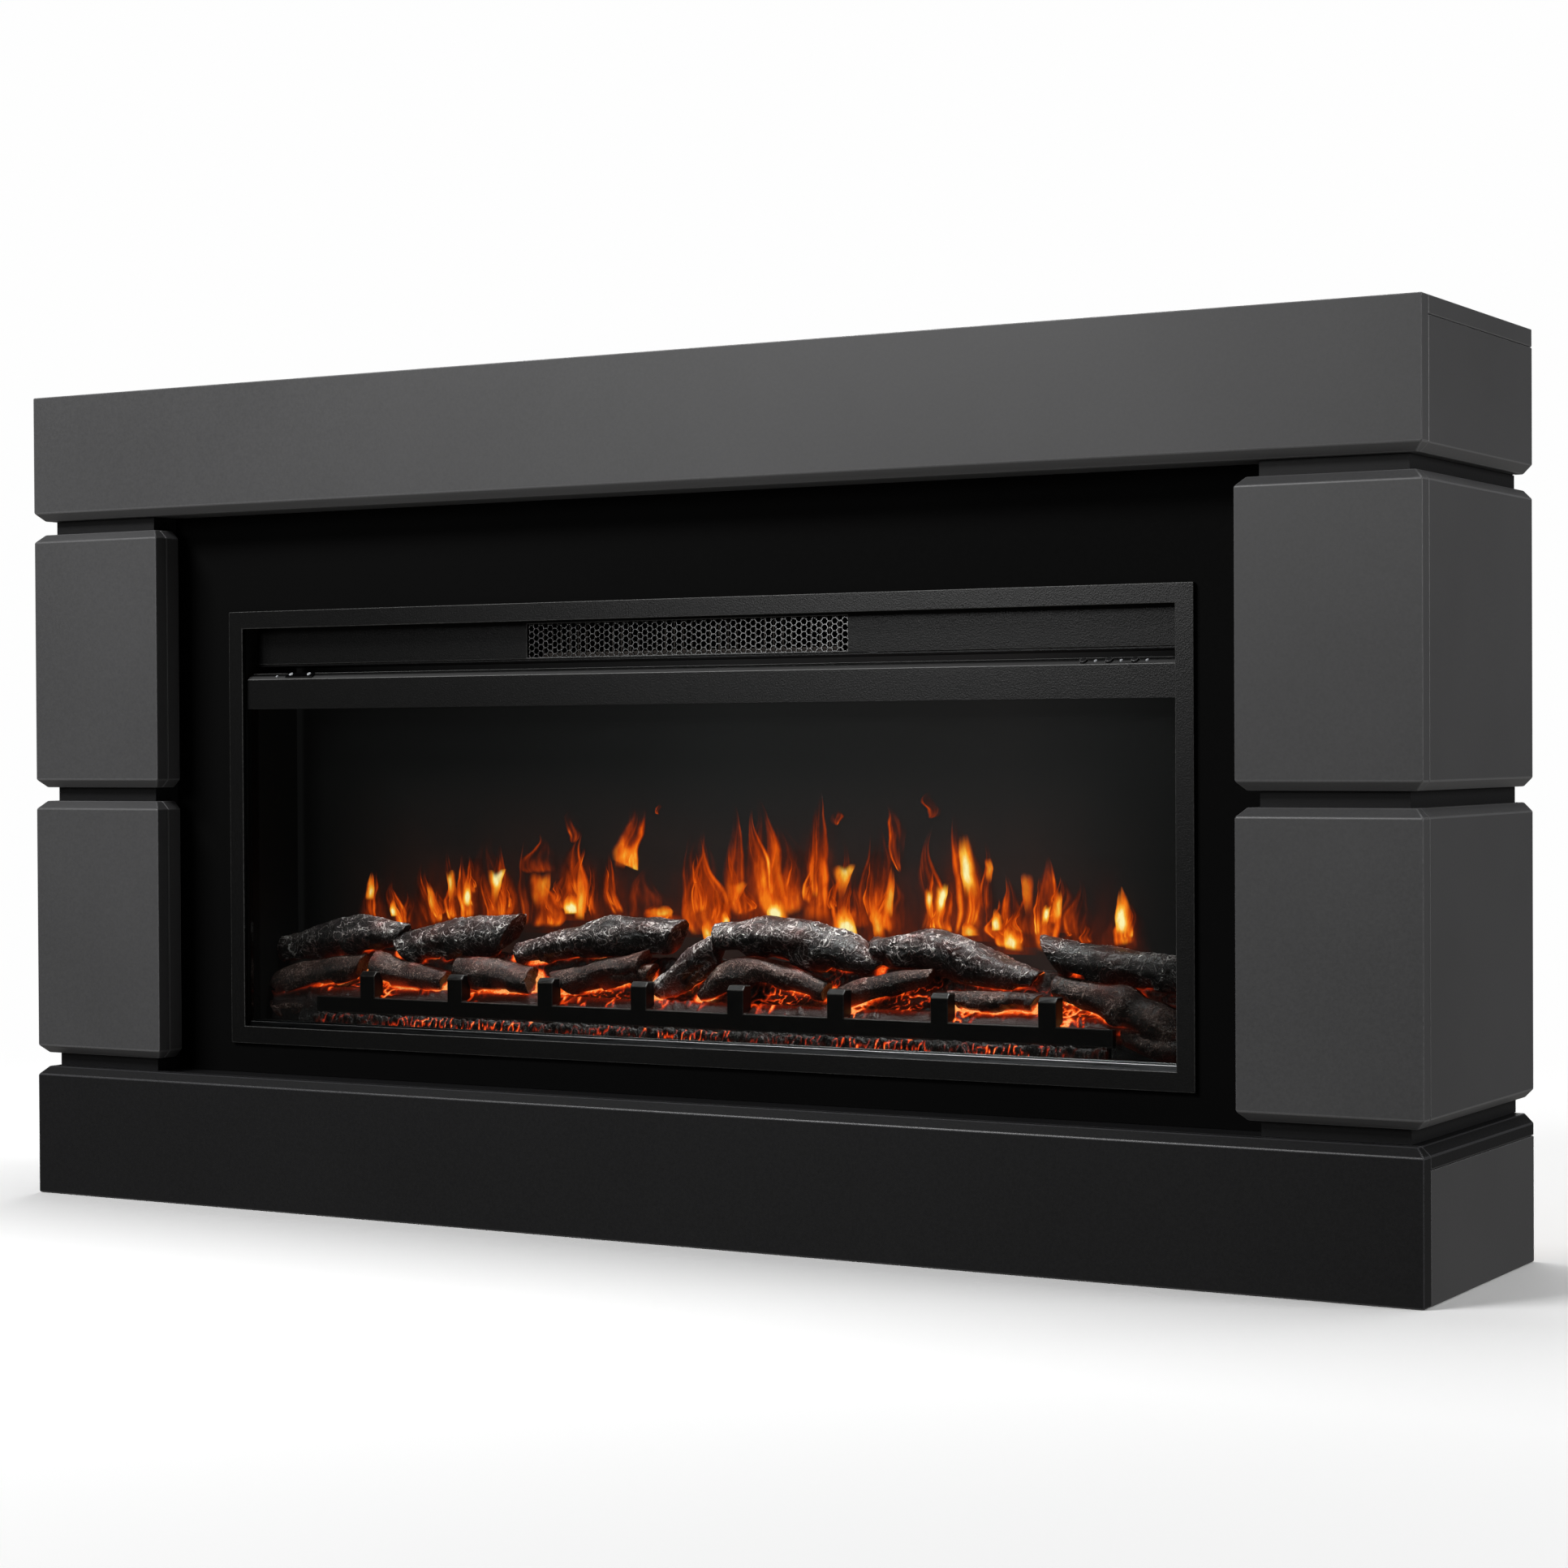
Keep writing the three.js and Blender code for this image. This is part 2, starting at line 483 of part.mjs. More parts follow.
// ---------------------------------------------------------------- grate and ember strip
let grate = box(-BAR_X, BAR_X, BAR_Y, BAR_Y + 7, BAR_Z, BAR_Z + BAR_H);
for (let i = 0; i < LUGS; i++) {
  const x = lugAt(i);
  // each lug is an upright tab with its top front edge leaning back
  grate = grate.add(alongX(
    [
      [BAR_Y, BAR_Z + 2],
      [BAR_Y + 7, BAR_Z + 2],
      [BAR_Y + 7, BAR_Z + BAR_H - 1],
      [BAR_Y + LUG_D, BAR_Z + BAR_H + 3],
      [BAR_Y + LUG_D, BAR_Z + BAR_H + LUG_H],
      [BAR_Y + 4, BAR_Z + BAR_H + LUG_H],
      [BAR_Y, BAR_Z + BAR_H + LUG_H - 4],
    ],
    x - LUG_W / 2, x + LUG_W / 2));
}
// two short feet stand the bar on the tray
for (const x of [-BAR_X + 12, BAR_X - 12])
  grate = grate.add(box(x - 8, x + 8, BAR_Y + 1, BAR_Y + 7, TRAY_Z + FIT, BAR_Z + 2));
add("grate", grate, { color: 0x131313, roughness: 0.55, metalness: 0.2 });

// A repeatable spread of numbers between 0 and 1.
function spread(n) {
  const v = Math.sin(n * 127.1 + 11.7) * 43758.5453;
  return v - Math.floor(v);
}
// charcoal lumps in one strip before the bar
const STRIP_Y0 = TRAY_Y0 + 3.5;
const STRIP_Y1 = BAR_Y - FIT;
let strip = box(-BAR_X + 4, BAR_X - 4, STRIP_Y0 + 1.5, STRIP_Y1, TRAY_Z + FIT, TRAY_Z + 6);
const LUMPS = 32;
for (let i = 0; i < LUMPS; i++) {
  const g = new THREE.IcosahedronGeometry(7 + 1.8 * spread(i), 0);
  g.scale(1.9, 0.62, 0.8 + 0.2 * spread(i + 50));
  g.rotateY(spread(i + 100) * 3);
  g.translate(-BAR_X + 12 + (i * (2 * BAR_X - 24)) / (LUMPS - 1), (STRIP_Y0 + STRIP_Y1) / 2,
    TRAY_Z + 6.5 + 1.5 * spread(i + 150));
  strip = strip.add(toSolid(g));
}
strip = strip.intersect(
  box(-BAR_X, BAR_X, STRIP_Y0, STRIP_Y1, TRAY_Z + FIT, BAR_Z + 2));
add("ember_strip", strip, RESIN);

// ---------------------------------------------------------------- log set
// One moulding: a hollow ember bed with the logs on it. Each log has the end of the bed it is
// set out from (-1 left, 1 right), how far it lies behind the hood face, and stations along
// its axis: [distance from that end of the bed, z, radius].
const BED_X = spanX - 8.6;
const BED_Y0 = BAR_Y + 7 + 2;
const BED_Y1 = SCREEN_Y - 3;
const BED_LIP_Z = TRAY_Z + 24; // top of the bed's front wall, just under the top of the bar
const BED_FLOOR_Z = TRAY_Z + 38; // where the front logs lie
const BED_BACK_Z = TRAY_Z + 73; // shelf the rear logs lie on
const LOGS = [
  [-1, 60, [-24, 254, 9.3], [43, 264, 15], [90, 272, 17.4], [143, 271, 8.2]],
  [-1, 60, [146, 258, 11.5], [192, 266, 18.5], [242, 274, 17.8], [279, 281, 13.7]],
  [-1, 60, [286, 251, 5], [344, 269, 14.3], [401, 279, 17.7], [470, 281, 14]],
  [-1, 50, [457, 225, 8.6], [490, 247, 14], [521, 268, 13.9]],
  [1, 60, [491, 278, 13.1], [439, 281, 18.4], [360, 270, 18.2], [319, 256, 8.3]],
  [1, 60, [322, 271, 12.8], [262, 273, 17.1], [204, 257, 16.2], [158, 249, 7.3]],
  [1, 60, [140, 272, 14.6], [84, 265, 16.6], [48, 260, 15.1], [8, 256, 14.3]],
  [-1, 47, [103, 240, 8.2], [40, 227, 12.4], [5, 214, 14], [11, 205, 9]],
  [-1, 47, [125, 236, 12], [160, 231, 11.5], [200, 225, 7.3]],
  [-1, 48, [221, 244, 9.7], [260, 233, 14], [311, 230, 11.1]],
  [-1, 47, [349, 229, 10.3], [394, 239, 11.8], [436, 256, 8.6]],
  [-1, 50, [396, 236, 8.6], [448, 242, 8.6]],
  [1, 47, [502, 223, 7.7], [479, 241, 10], [446, 249, 12], [406, 242, 11.4], [367, 232, 8.3]],
  [1, 46, [349, 225, 9], [302, 240, 10.4], [256, 249, 7.4]],
  [1, 46, [232, 228, 8.1], [189, 228, 9.5], [152, 228, 7.3]],
  [1, 47, [131, 241, 9], [78, 232, 10.8], [43, 219, 14], [14, 204, 12]],
];
const LOG_SIDES = 9;
// A closed tapering tube through the stations, with slightly uneven sides.
function log(end, offset, stations, seed) {
  const y = HOOD_Y + offset;
  const lift = TRAY_Z - 183; // the heights below are drawn for a tray 183 mm above the floor
  const centres = stations.map(([d, z]) =>
    new THREE.Vector3(end * (BED_X - d), y, z + lift));
  const points = [];
  const faces = [];
  stations.forEach(([, , r], i) => {
    const a = centres[Math.max(0, i - 1)];
    const b = centres[Math.min(centres.length - 1, i + 1)];
    const along = b.clone().sub(a).normalize();
    const up = new THREE.Vector3(0, 0, 1).addScaledVector(along, -along.z).normalize();
    const out = along.clone().cross(up);
    for (let k = 0; k < LOG_SIDES; k++) {
      const t = (k * 2 * Math.PI) / LOG_SIDES;
      const rr = r * (0.93 + 0.12 * spread(seed * 31 + i * 7 + k));
      points.push(centres[i].clone().addScaledVector(out, rr * Math.cos(t))
        .addScaledVector(up, rr * Math.sin(t)));
    }
  });
  const last = (stations.length - 1) * LOG_SIDES;
  for (let i = 0; i < stations.length - 1; i++)
    for (let k = 0; k < LOG_SIDES; k++) {
      const a = i * LOG_SIDES + k;
      const b = i * LOG_SIDES + ((k + 1) % LOG_SIDES);
      faces.push(a, b, b + LOG_SIDES, a, b + LOG_SIDES, a + LOG_SIDES);
    }
  for (let k = 1; k < LOG_SIDES - 1; k++) {
    faces.push(0, k + 1, k);
    faces.push(last, last + k, last + k + 1);
  }
  const g = new THREE.BufferGeometry().setFromPoints(points);
  g.setIndex(faces);
  const solid = toSolid(g);
  if (solid.volume() > 0) return solid;
  for (let i = 0; i < faces.length; i += 3)
    [faces[i + 1], faces[i + 2]] = [faces[i + 2], faces[i + 1]];
  g.setIndex(faces);
  return toSolid(g);
}
const BED_T = 2.5;
const bedZ = TRAY_Z + FIT;
const bedOuter = [
  [BED_Y0, bedZ],
  [BED_Y1, bedZ],
  [BED_Y1, BED_BACK_Z],
  [BED_Y1 - 16, BED_BACK_Z],
  [BED_Y0 + 22, BED_FLOOR_Z],
  [BED_Y0 + 9, BED_LIP_Z + 10],
  [BED_Y0, BED_LIP_Z],
];
const bedInner = [
  [BED_Y0 + BED_T, bedZ - 1],
  [BED_Y1 - BED_T, bedZ - 1],
  [BED_Y1 - BED_T, BED_BACK_Z - BED_T],
  [BED_Y1 - 16 + 2, BED_BACK_Z - BED_T],
  [BED_Y0 + 22 + 1, BED_FLOOR_Z - BED_T],
  [BED_Y0 + 9 + 1, BED_LIP_Z + 10 - BED_T],
  [BED_Y0 + BED_T, BED_LIP_Z - BED_T],
];
let logs = alongX(bedOuter, -BED_X, BED_X)
  .subtract(alongX(bedInner, -BED_X + BED_T, BED_X - BED_T));
LOGS.forEach(([end, offset, ...stations], i) => {
  logs = logs.add(log(end, offset, stations, i + 1));
});
// the moulding stays inside the casing, behind the grate and before the screen
logs = logs.intersect(
  box(-spanX + FIT, spanX - FIT, BED_Y0 - 1, BED_Y1 + 1.5, bedZ, SHELF_Z - 20));
// and is notched round the lugs of the grate
for (let i = 0; i < LUGS; i++) {
  const x = lugAt(i);
  logs = logs.subtract(box(x - LUG_W / 2 - FIT, x + LUG_W / 2 + FIT, BED_Y0 - 2,
    BAR_Y + LUG_D + FIT, BAR_Z + 2, BAR_Z + BAR_H + LUG_H + FIT));
}
add("log_set", logs, RESIN);

// light strip under the ember bed
const LAMP_X = BED_X - 35; // half length of both light strips
const LAMPS = 24;
const lampAt = (i) => -LAMP_X + 10 + (i * (2 * LAMP_X - 20)) / (LAMPS - 1);
let leds = box(-LAMP_X, LAMP_X, BED_Y0 + 18, BED_Y0 + 30, TRAY_Z + FIT, TRAY_Z + 2.4);
for (let i = 0; i < LAMPS; i++) {
  const x = lampAt(i);
  leds = leds.add(box(x - 2.5, x + 2.5, BED_Y0 + 21.5, BED_Y0 + 26.5, TRAY_Z + 2, TRAY_Z + 4));
}
add("led_strip", leds, CIRCUIT);

// ---------------------------------------------------------------- flicker drive behind the screen
const rodY = SCREEN_Y + 42;
const rodZ = TRAY_Z + 36;
const ROD_X = spanX - 45.6;
let rod = bar("x", ROD_R, -ROD_X - 8, ROD_X, rodY, rodZ, 12);
const VANES = 14;
for (let i = 0; i < VANES; i++) {
  const vane = new THREE.BoxGeometry(26, 2 * VANE_R, 0.8);
  vane.rotateX((i * Math.PI) / 5);
  vane.translate(-ROD_X + 30 + (i * (2 * ROD_X - 60)) / (VANES - 1), rodY, rodZ);
  rod = rod.add(toSolid(vane));
}
add("flicker_rod", rod, ALUMINIUM);
const bearing = box(-ROD_X - 12, -ROD_X - 8 + 4.5, rodY - 9, rodY + 9, TRAY_Z + FIT, rodZ + 9);
add("rod_bearing",
  bearing.subtract(bar("x", ROD_R + 0.5, -ROD_X - 20, -ROD_X + 10, rodY, rodZ, 16)), PLASTIC);
add("flicker_motor",
  bar("x", 17, ROD_X + 1, ROD_X + 19, rodY, rodZ, 28).add(
    box(ROD_X + 4, ROD_X + 16, rodY - 12, rodY + 12, TRAY_Z + FIT, rodZ)),
  BARE_STEEL);
// lamp bar that shines on the turning vanes
let lamps = box(-LAMP_X, LAMP_X, rodY - 26, rodY - 23.5, TRAY_Z + FIT, TRAY_Z + 22);
for (let i = 0; i < LAMPS; i++) {
  const x = lampAt(i);
  lamps = lamps.add(box(x - 2.5, x + 2.5, rodY - 24, rodY - 21.5, TRAY_Z + 10, TRAY_Z + 15));
}
add("flame_lamps", lamps, CIRCUIT);

export default group;
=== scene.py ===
# %% [markdown]
# # An electric fireplace in a panelled surround
# The real object is two things put together: a surround of lacquered boards, like a piece of
# furniture, and a steel firebox let into it. The firebox holds a fan heater, a moulded log set
# lit from below and a dark screen that shows a moving flame picture.
#
# Everything is in metres. X runs left to right, the front faces -Y and the floor is z = 0.
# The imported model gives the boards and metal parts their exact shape. This lesson gives them
# their finishes, and builds what has a finer shape: bark, embers, flames and the perforated grille.

# %% Load the model and keep its box
import math

import bmesh
import bpy
import numpy as np
from mathutils import Matrix, Vector


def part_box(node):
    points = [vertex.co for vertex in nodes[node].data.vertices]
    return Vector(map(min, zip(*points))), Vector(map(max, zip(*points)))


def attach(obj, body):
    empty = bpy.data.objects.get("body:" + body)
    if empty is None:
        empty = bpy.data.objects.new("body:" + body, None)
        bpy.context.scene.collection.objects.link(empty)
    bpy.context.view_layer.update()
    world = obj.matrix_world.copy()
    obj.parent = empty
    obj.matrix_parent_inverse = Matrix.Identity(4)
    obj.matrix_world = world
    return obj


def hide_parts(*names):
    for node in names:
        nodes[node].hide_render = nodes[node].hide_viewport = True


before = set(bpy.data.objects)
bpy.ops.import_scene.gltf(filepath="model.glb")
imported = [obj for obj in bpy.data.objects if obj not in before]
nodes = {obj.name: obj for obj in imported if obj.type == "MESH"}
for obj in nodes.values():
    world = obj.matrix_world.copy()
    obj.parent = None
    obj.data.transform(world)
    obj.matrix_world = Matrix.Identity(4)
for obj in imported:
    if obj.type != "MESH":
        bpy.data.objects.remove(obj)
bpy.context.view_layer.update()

MM = 0.001
scene = bpy.context.scene

# %% [markdown]
# ## The camera
# The object is seen from its right and from a little under half its height, through a long lens,
# so that its uprights stay parallel. The turn is built from three plain rotations, because a
# camera that is tilted by a fraction of a degree is hard to place by pointing it at a target.

# %% Camera
LENS = 75.56  # mm, on a 36 mm sensor
CAMERA_AT = Vector((1.6492, -2.7042, 0.4625))
YAW, PITCH, ROLL = math.radians(30.343), math.radians(-0.7052), math.radians(0.3056)

turn = Matrix.Rotation(YAW, 3, "Z") @ Matrix.Rotation(PITCH, 3, "X") @ Matrix.Rotation(ROLL, 3, "Y")
right, forward, up = turn.col[0], turn.col[1], turn.col[2]
camera = bpy.data.objects.new("camera", bpy.data.cameras.new("camera"))
camera.data.lens = LENS
camera.data.sensor_width = 36
camera.data.clip_start, camera.data.clip_end = 0.05, 200
camera.matrix_world = Matrix.Translation(CAMERA_AT) @ Matrix(
    ((right.x, up.x, -forward.x), (right.y, up.y, -forward.y), (right.z, up.z, -forward.z))
).to_4x4()
scene.collection.objects.link(camera)
scene.camera = camera
scene.view_settings.view_transform = "Standard"
scene.view_settings.look = "None"
print("camera looks along", [round(value, 3) for value in forward])

# %% [markdown]
# ## Small helpers
# Colours are written as the hex values that a paint chart gives, and turned to linear light once.
# A node is added with its settings and its links in one line, so that a material reads from top
# to bottom like a recipe.


# %% Colour and node helpers
def hue(code):
    """An sRGB hex colour as linear light."""
    parts = [int(code[i:i + 2], 16) / 255 for i in (1, 3, 5)]
    return (*(c / 12.92 if c <= 0.04045 else ((c + 0.055) / 1.055) ** 2.4 for c in parts), 1.0)


def add(tree, kind, inputs=(), **settings):
    """Adds a shader node with its settings. Inputs go by name in a dict, or in the sockets' order
    in a tuple; each is a value, another node's output, or a node, which means its first output."""
    made = tree.nodes.new("ShaderNode" + kind)
    for name, value in settings.items():
        setattr(made, name, value)
    for name, value in inputs.items() if isinstance(inputs, dict) else enumerate(inputs):
        if isinstance(value, bpy.types.Node):
            value = value.outputs[0]
        if isinstance(value, bpy.types.NodeSocket):
            tree.links.new(value, made.inputs[name])
        else:
            made.inputs[name].default_value = value
    return made


# colour sockets of a Mix node
MIX_A, MIX_B, MIX_RESULT = 6, 7, 2


def new_material(name):
    """An empty material and its node tree."""
    made = bpy.data.materials.new(name)
    made.use_nodes = True
    made.node_tree.nodes.clear()
    return made, made.node_tree


def close(tree, shader):
    """Joins a shader to the material's output."""
    add(tree, "OutputMaterial", {"Surface": shader})


def ramp_stops(ramp, stops):
    """Sets the colours of a ramp from (position, hex) pairs."""
    elements = ramp.color_ramp.elements
    while len(elements) < len(stops):
        elements.new(0.5)
    for element, (place, code) in zip(elements, stops):
        element.position = place
        element.color = hue(code)


def dress(material, *names):
    """Gives one material to CAD nodes."""
    for name in names:
        data = nodes[name].data
        data.materials.clear()
        data.materials.append(material)


def object_from(name, mesh, material):
    """Puts a mesh into the scene, with its material."""
    mesh.materials.append(material)
    made = bpy.data.objects.new(name, mesh)
    scene.collection.objects.link(made)
    return made


def object_from_edit(name, edit, material):
    """The same from a bmesh, which is freed."""
    mesh = bpy.data.meshes.new(name)
    edit.to_mesh(mesh)
    edit.free()
    return object_from(name, mesh, material)


# %% [markdown]
# ## Studio
# A plain pale floor that fades into an equally pale background, and soft lights. A slim
# strip under the hood lights the logs from above, as the insert's own log light does. Black
# lacquer shows whatever it mirrors, so the floor is kept out of reflections and the room round
# the lights is dark: the black parts then stay black, as they do in front of a dark drape.

# %% Floor and background
PALE = hue("#FEFEFE")
FLOOR_SIZE = 90.0  # m, half of its side
FADE_FROM, FADE_TO = 0.75, 2.2  # m from the object's middle

floor_paint, tree = new_material("pale_studio_floor")
place = add(tree, "TexCoord").outputs["Object"]
away = add(tree, "VectorMath", (place,), operation="LENGTH")
far = add(tree, "MapRange", (away.outputs["Value"], FADE_FROM, FADE_TO), interpolation_type="SMOOTHSTEP")
matt = add(tree, "BsdfDiffuse", {"Color": hue("#F4F4F4"), "Roughness": 0.5})
glow = add(tree, "Emission", {"Color": PALE, "Strength": 1.0})
mixed = add(tree, "MixShader", (far, matt, glow))
close(tree, mixed)
edit = bmesh.new()
bmesh.ops.create_grid(edit, x_segments=24, y_segments=24, size=FLOOR_SIZE)
floor = object_from_edit("floor", edit, floor_paint)
floor.location.z = -0.5 * MM
floor.visible_glossy = floor.visible_diffuse = floor.visible_shadow = False

world = bpy.data.worlds.new("studio")
scene.world = world
world.use_nodes = True
tree = world.node_tree
tree.nodes.clear()
ray = add(tree, "LightPath")
split = add(tree, "SeparateXYZ", (add(tree, "TexCoord"),))  # a direction
bounce = add(tree, "MapRange", (split.outputs["Z"], -0.08, -0.6, 0.03, 0.42))
drape = add(tree, "Background", {"Color": hue("#E4E2DE"), "Strength": bounce})
backdrop = add(tree, "Background", {"Color": PALE, "Strength": 1.0})
seen = add(tree, "MixShader", (ray.outputs["Is Camera Ray"], drape, backdrop))
add(tree, "OutputWorld", {"Surface": seen})


# %% Lights
def soft_light(name, place, aim, size, power, tint="#FFFFFF"):
    """A rectangular softbox at one point, aimed at another."""
    data = bpy.data.lights.new(name, "AREA")
    data.shape = "RECTANGLE"
    data.size, data.size_y = size
    data.energy = power
    data.color = hue(tint)[:3]
    made = bpy.data.objects.new(name, data)
    made.location = place
    made.rotation_euler = (Vector(aim) - Vector(place)).to_track_quat("-Z", "Y").to_euler()
    scene.collection.objects.link(made)
    return made


soft_light("key_softbox", (-1.4, -2.4, 2.6), (-0.4, 0, 0.6), (1.6, 0.9), 84)
soft_light("strip_softbox", (-1.2, -3.1, 1.35), (0.3, -0.1, 0.5), (0.95, 0.9), 15)
soft_light("side_softbox", (3.4, 0.3, 1.35), (0.75, 0, 0.4), (1.4, 1.6), 42)
soft_light("top_softbox", (0, 0.3, 2.6), (0, 0, 0.8), (2.6, 0.8), 60)
soft_light("back_softbox", (-1.2, 3.0, 2.2), (0, 0, 0.4), (2.4, 1.4), 60)
hood_low, hood_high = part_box("hood_bar")
log_light = soft_light("strip_under_hood", (0, hood_low.y + 26 * MM, hood_low.z + 3 * MM),
                       (0, hood_low.y + 46 * MM, 0.2), (0.80, 0.02), 1.0)
log_light.visible_camera = False
log_light.data.spread = math.radians(75)
print("studio: 5 softboxes and a strip under the hood")

# %% [markdown]
# ## Lacquered boards
# The surround is MDF sprayed with satin lacquer. A spray gun leaves a very fine orange peel, and
# tiny differences in how much light the film throws back. Both are far below a millimetre on the
# real board, so they are drawn two to three times coarser here, or they wouldn't show at all.
# The boards keep their CAD shape. A weld and a narrow bevel modifier soften their cut edges, as
# sanding before the lacquer does, and the bevel catches light along each edge. The bevel also takes
# a lighter coat, a painted highlight, which draws the thin light line. The plinth's front and top
# boards are black, while its sides are graphite like the rest.


# %% Satin lacquer on MDF
RAW_MDF = "#AA8D6C"


def satin_lacquer(name, colour, roughness, sheen=0.45, back_left_raw=False):
    """Sprayed satin lacquer: even colour, fine orange peel, soft highlight."""
    made, tree = new_material(name)
    place = add(tree, "TexCoord").outputs["Object"]
    cloud = add(tree, "TexNoise", {"Vector": place, "Scale": 5.0, "Detail": 3.0, "Roughness": 0.5})
    grain = add(tree, "TexNoise", {
        "Vector": place, "Scale": 420.0, "Detail": 2.0, "Roughness": 0.7})
    both = add(tree, "Math", (cloud, grain))
    shade = add(tree, "MapRange", (both, 0.6, 1.4, 0.86, 1.14))
    tone = add(tree, "VectorMath", {0: hue(colour)[:3], "Scale": shade}, operation="SCALE")
    gloss = add(tree, "MapRange", (grain, 0.3, 0.7, roughness - 0.04, roughness + 0.05))
    peel = add(tree, "Bump", {"Height": grain, "Strength": 0.10, "Distance": 0.0004})
    film = add(tree, "BsdfPrincipled", {
        "Base Color": tone, "Roughness": gloss, "Normal": peel, "IOR": 1.48,
        "Specular IOR Level": sheen})
    close(tree, raw_back(tree, film) if back_left_raw else film)
    return made


def raw_back(tree, film):
    """Leaves the faces that look to the wall as raw board, by mixing in a fibrous brown."""
    facing = add(tree, "NewGeometry")
    split = add(tree, "SeparateXYZ", (facing.outputs["True Normal"],))
    raw = add(tree, "Math", (split.outputs["Y"], 0.9), operation="GREATER_THAN")
    place = add(tree, "TexCoord").outputs["Object"]
    fibre = add(tree, "TexNoise", {
        "Vector": place, "Scale": 260.0, "Detail": 4.0, "Roughness": 0.75})
    brown = add(tree, "ValToRGB", (fibre,))
    ramp_stops(brown, [(0.25, "#7E6549"), (0.5, RAW_MDF), (0.8, "#C9AE8E")])
    mdf = add(tree, "BsdfPrincipled", {"Base Color": brown, "Roughness": 0.88})
    return add(tree, "MixShader", (raw, film, mdf))


graphite_lacquer = satin_lacquer("graphite_satin_lacquer_on_mdf", "#4D4D4E", 0.44, back_left_raw=True)
black_lacquer = satin_lacquer("black_satin_lacquer_on_mdf", "#1C1C1D", 0.46, 0.25, back_left_raw=True)
facing_black = satin_lacquer("black_matt_laminate", "#070707", 0.7, 0.06, back_left_raw=True)
raw_board = satin_lacquer("raw_mdf_rail", RAW_MDF, 0.85, 0.2)

boards = [name for name in nodes if "block" in name or "mantel" in name or "plinth" in name]
black_boards = ("plinth_front_board", "plinth_top_board")
dress(graphite_lacquer, *boards)
dress(black_lacquer, "column_core_left", "column_core_right", *black_boards)
dress(facing_black, "facing_panel")
dress(raw_board, "plinth_bottom_board", "plinth_back_rail", "mantel_back_rail")
print("boards dressed")


# %% Soften the cut edges of boards and metal parts
def soften(width, segments, painted_edge_light, *names):
    """Welds a CAD node's corners and rounds its sharp edges, which take a lighter material of their own:
    a painted highlight.
    """
    for name in names:
        weld = nodes[name].modifiers.new("weld", "WELD")
        weld.merge_threshold = 0.00002
        bevel = nodes[name].modifiers.new("edge", "BEVEL")
        bevel.width = width
        bevel.segments = segments
        bevel.limit_method = "ANGLE"
        bevel.angle_limit = math.radians(30)
        bevel.harden_normals = True
        nodes[name].data.materials.append(painted_edge_light)
        bevel.material = len(nodes[name].data.materials) - 1


# the lighter lacquers on the bevels are painted highlights
painted_edge_highlight = satin_lacquer("graphite_lacquer_with_painted_edge_highlight", "#626263", 0.36)
painted_black_edge_highlight = satin_lacquer("black_lacquer_with_painted_edge_highlight", "#3E3E40", 0.36)
soften(1.1 * MM, 2, painted_edge_highlight, *(name for name in boards if name not in black_boards))
soften(1.1 * MM, 2, painted_black_edge_highlight, *black_boards)
print("edges softened on", len(boards), "boards")

# %% [markdown]
# ## Powder-coated steel
# The trim frame, the hood and the heater's fascia are folded steel with a black powder coat. Baked
# powder has a pebbly skin, grains about a third of a millimetre wide, that breaks up a highlight.


# %% Powder coat and other metal finishes
def powder_coat(name, colour, roughness, top_light_colour=None, specular=0.42, lit_depth=None):
    """Baked powder on sheet steel. Faces that look up may be painted lighter, a painted top light,
    only in front of a given depth; behind it they stay dark, a painted shadow."""
    made, tree = new_material(name)
    place = add(tree, "TexCoord").outputs["Object"]
    pebbles = add(tree, "TexVoronoi", {
        "Vector": place, "Scale": 900.0, "Randomness": 1.0}, feature="SMOOTH_F1")
    cloud = add(tree, "TexNoise", {"Vector": place, "Scale": 9.0, "Detail": 3.0})
    shade = add(tree, "MapRange", (cloud, 0.3, 0.7, 0.85, 1.15))
    grain = add(tree, "TexNoise", {"Vector": place, "Scale": 650.0, "Detail": 1.0})
    speck = add(tree, "MapRange", (grain, 0.35, 0.65, 0.6, 1.5))
    mottled = add(tree, "Math", (shade, speck), operation="MULTIPLY")
    tone = add(tree, "VectorMath", {0: hue(colour)[:3], "Scale": mottled}, operation="SCALE")
    skin = add(tree, "Bump", {"Height": pebbles, "Strength": 0.28, "Distance": 0.0003})
    coat_tone = tone
    # painted top light on upward faces; with a depth it stops towards the back, where the dark coat is
    # painted shadow
    if top_light_colour:
        facing = add(tree, "NewGeometry")
        split = add(tree, "SeparateXYZ", (facing.outputs["True Normal"],))
        upward = add(tree, "MapRange", (split.outputs["Z"], 0.2, 0.5))
        if lit_depth:
            spot = add(tree, "SeparateXYZ", (place,))
            near = add(tree, "MapRange", (spot.outputs["Y"], lit_depth[1], lit_depth[0]))
            upward = add(tree, "Math", (upward, near), operation="MULTIPLY")
        coat_tone = add(tree, "Mix", {
            "Factor": upward, MIX_A: tone, MIX_B: hue(top_light_colour)}, data_type="RGBA").outputs[MIX_RESULT]
    coat = add(tree, "BsdfPrincipled", {
        "Base Color": coat_tone, "Roughness": roughness, "Normal": skin, "IOR": 1.5,
        "Specular IOR Level": specular})
    close(tree, coat)
    return made


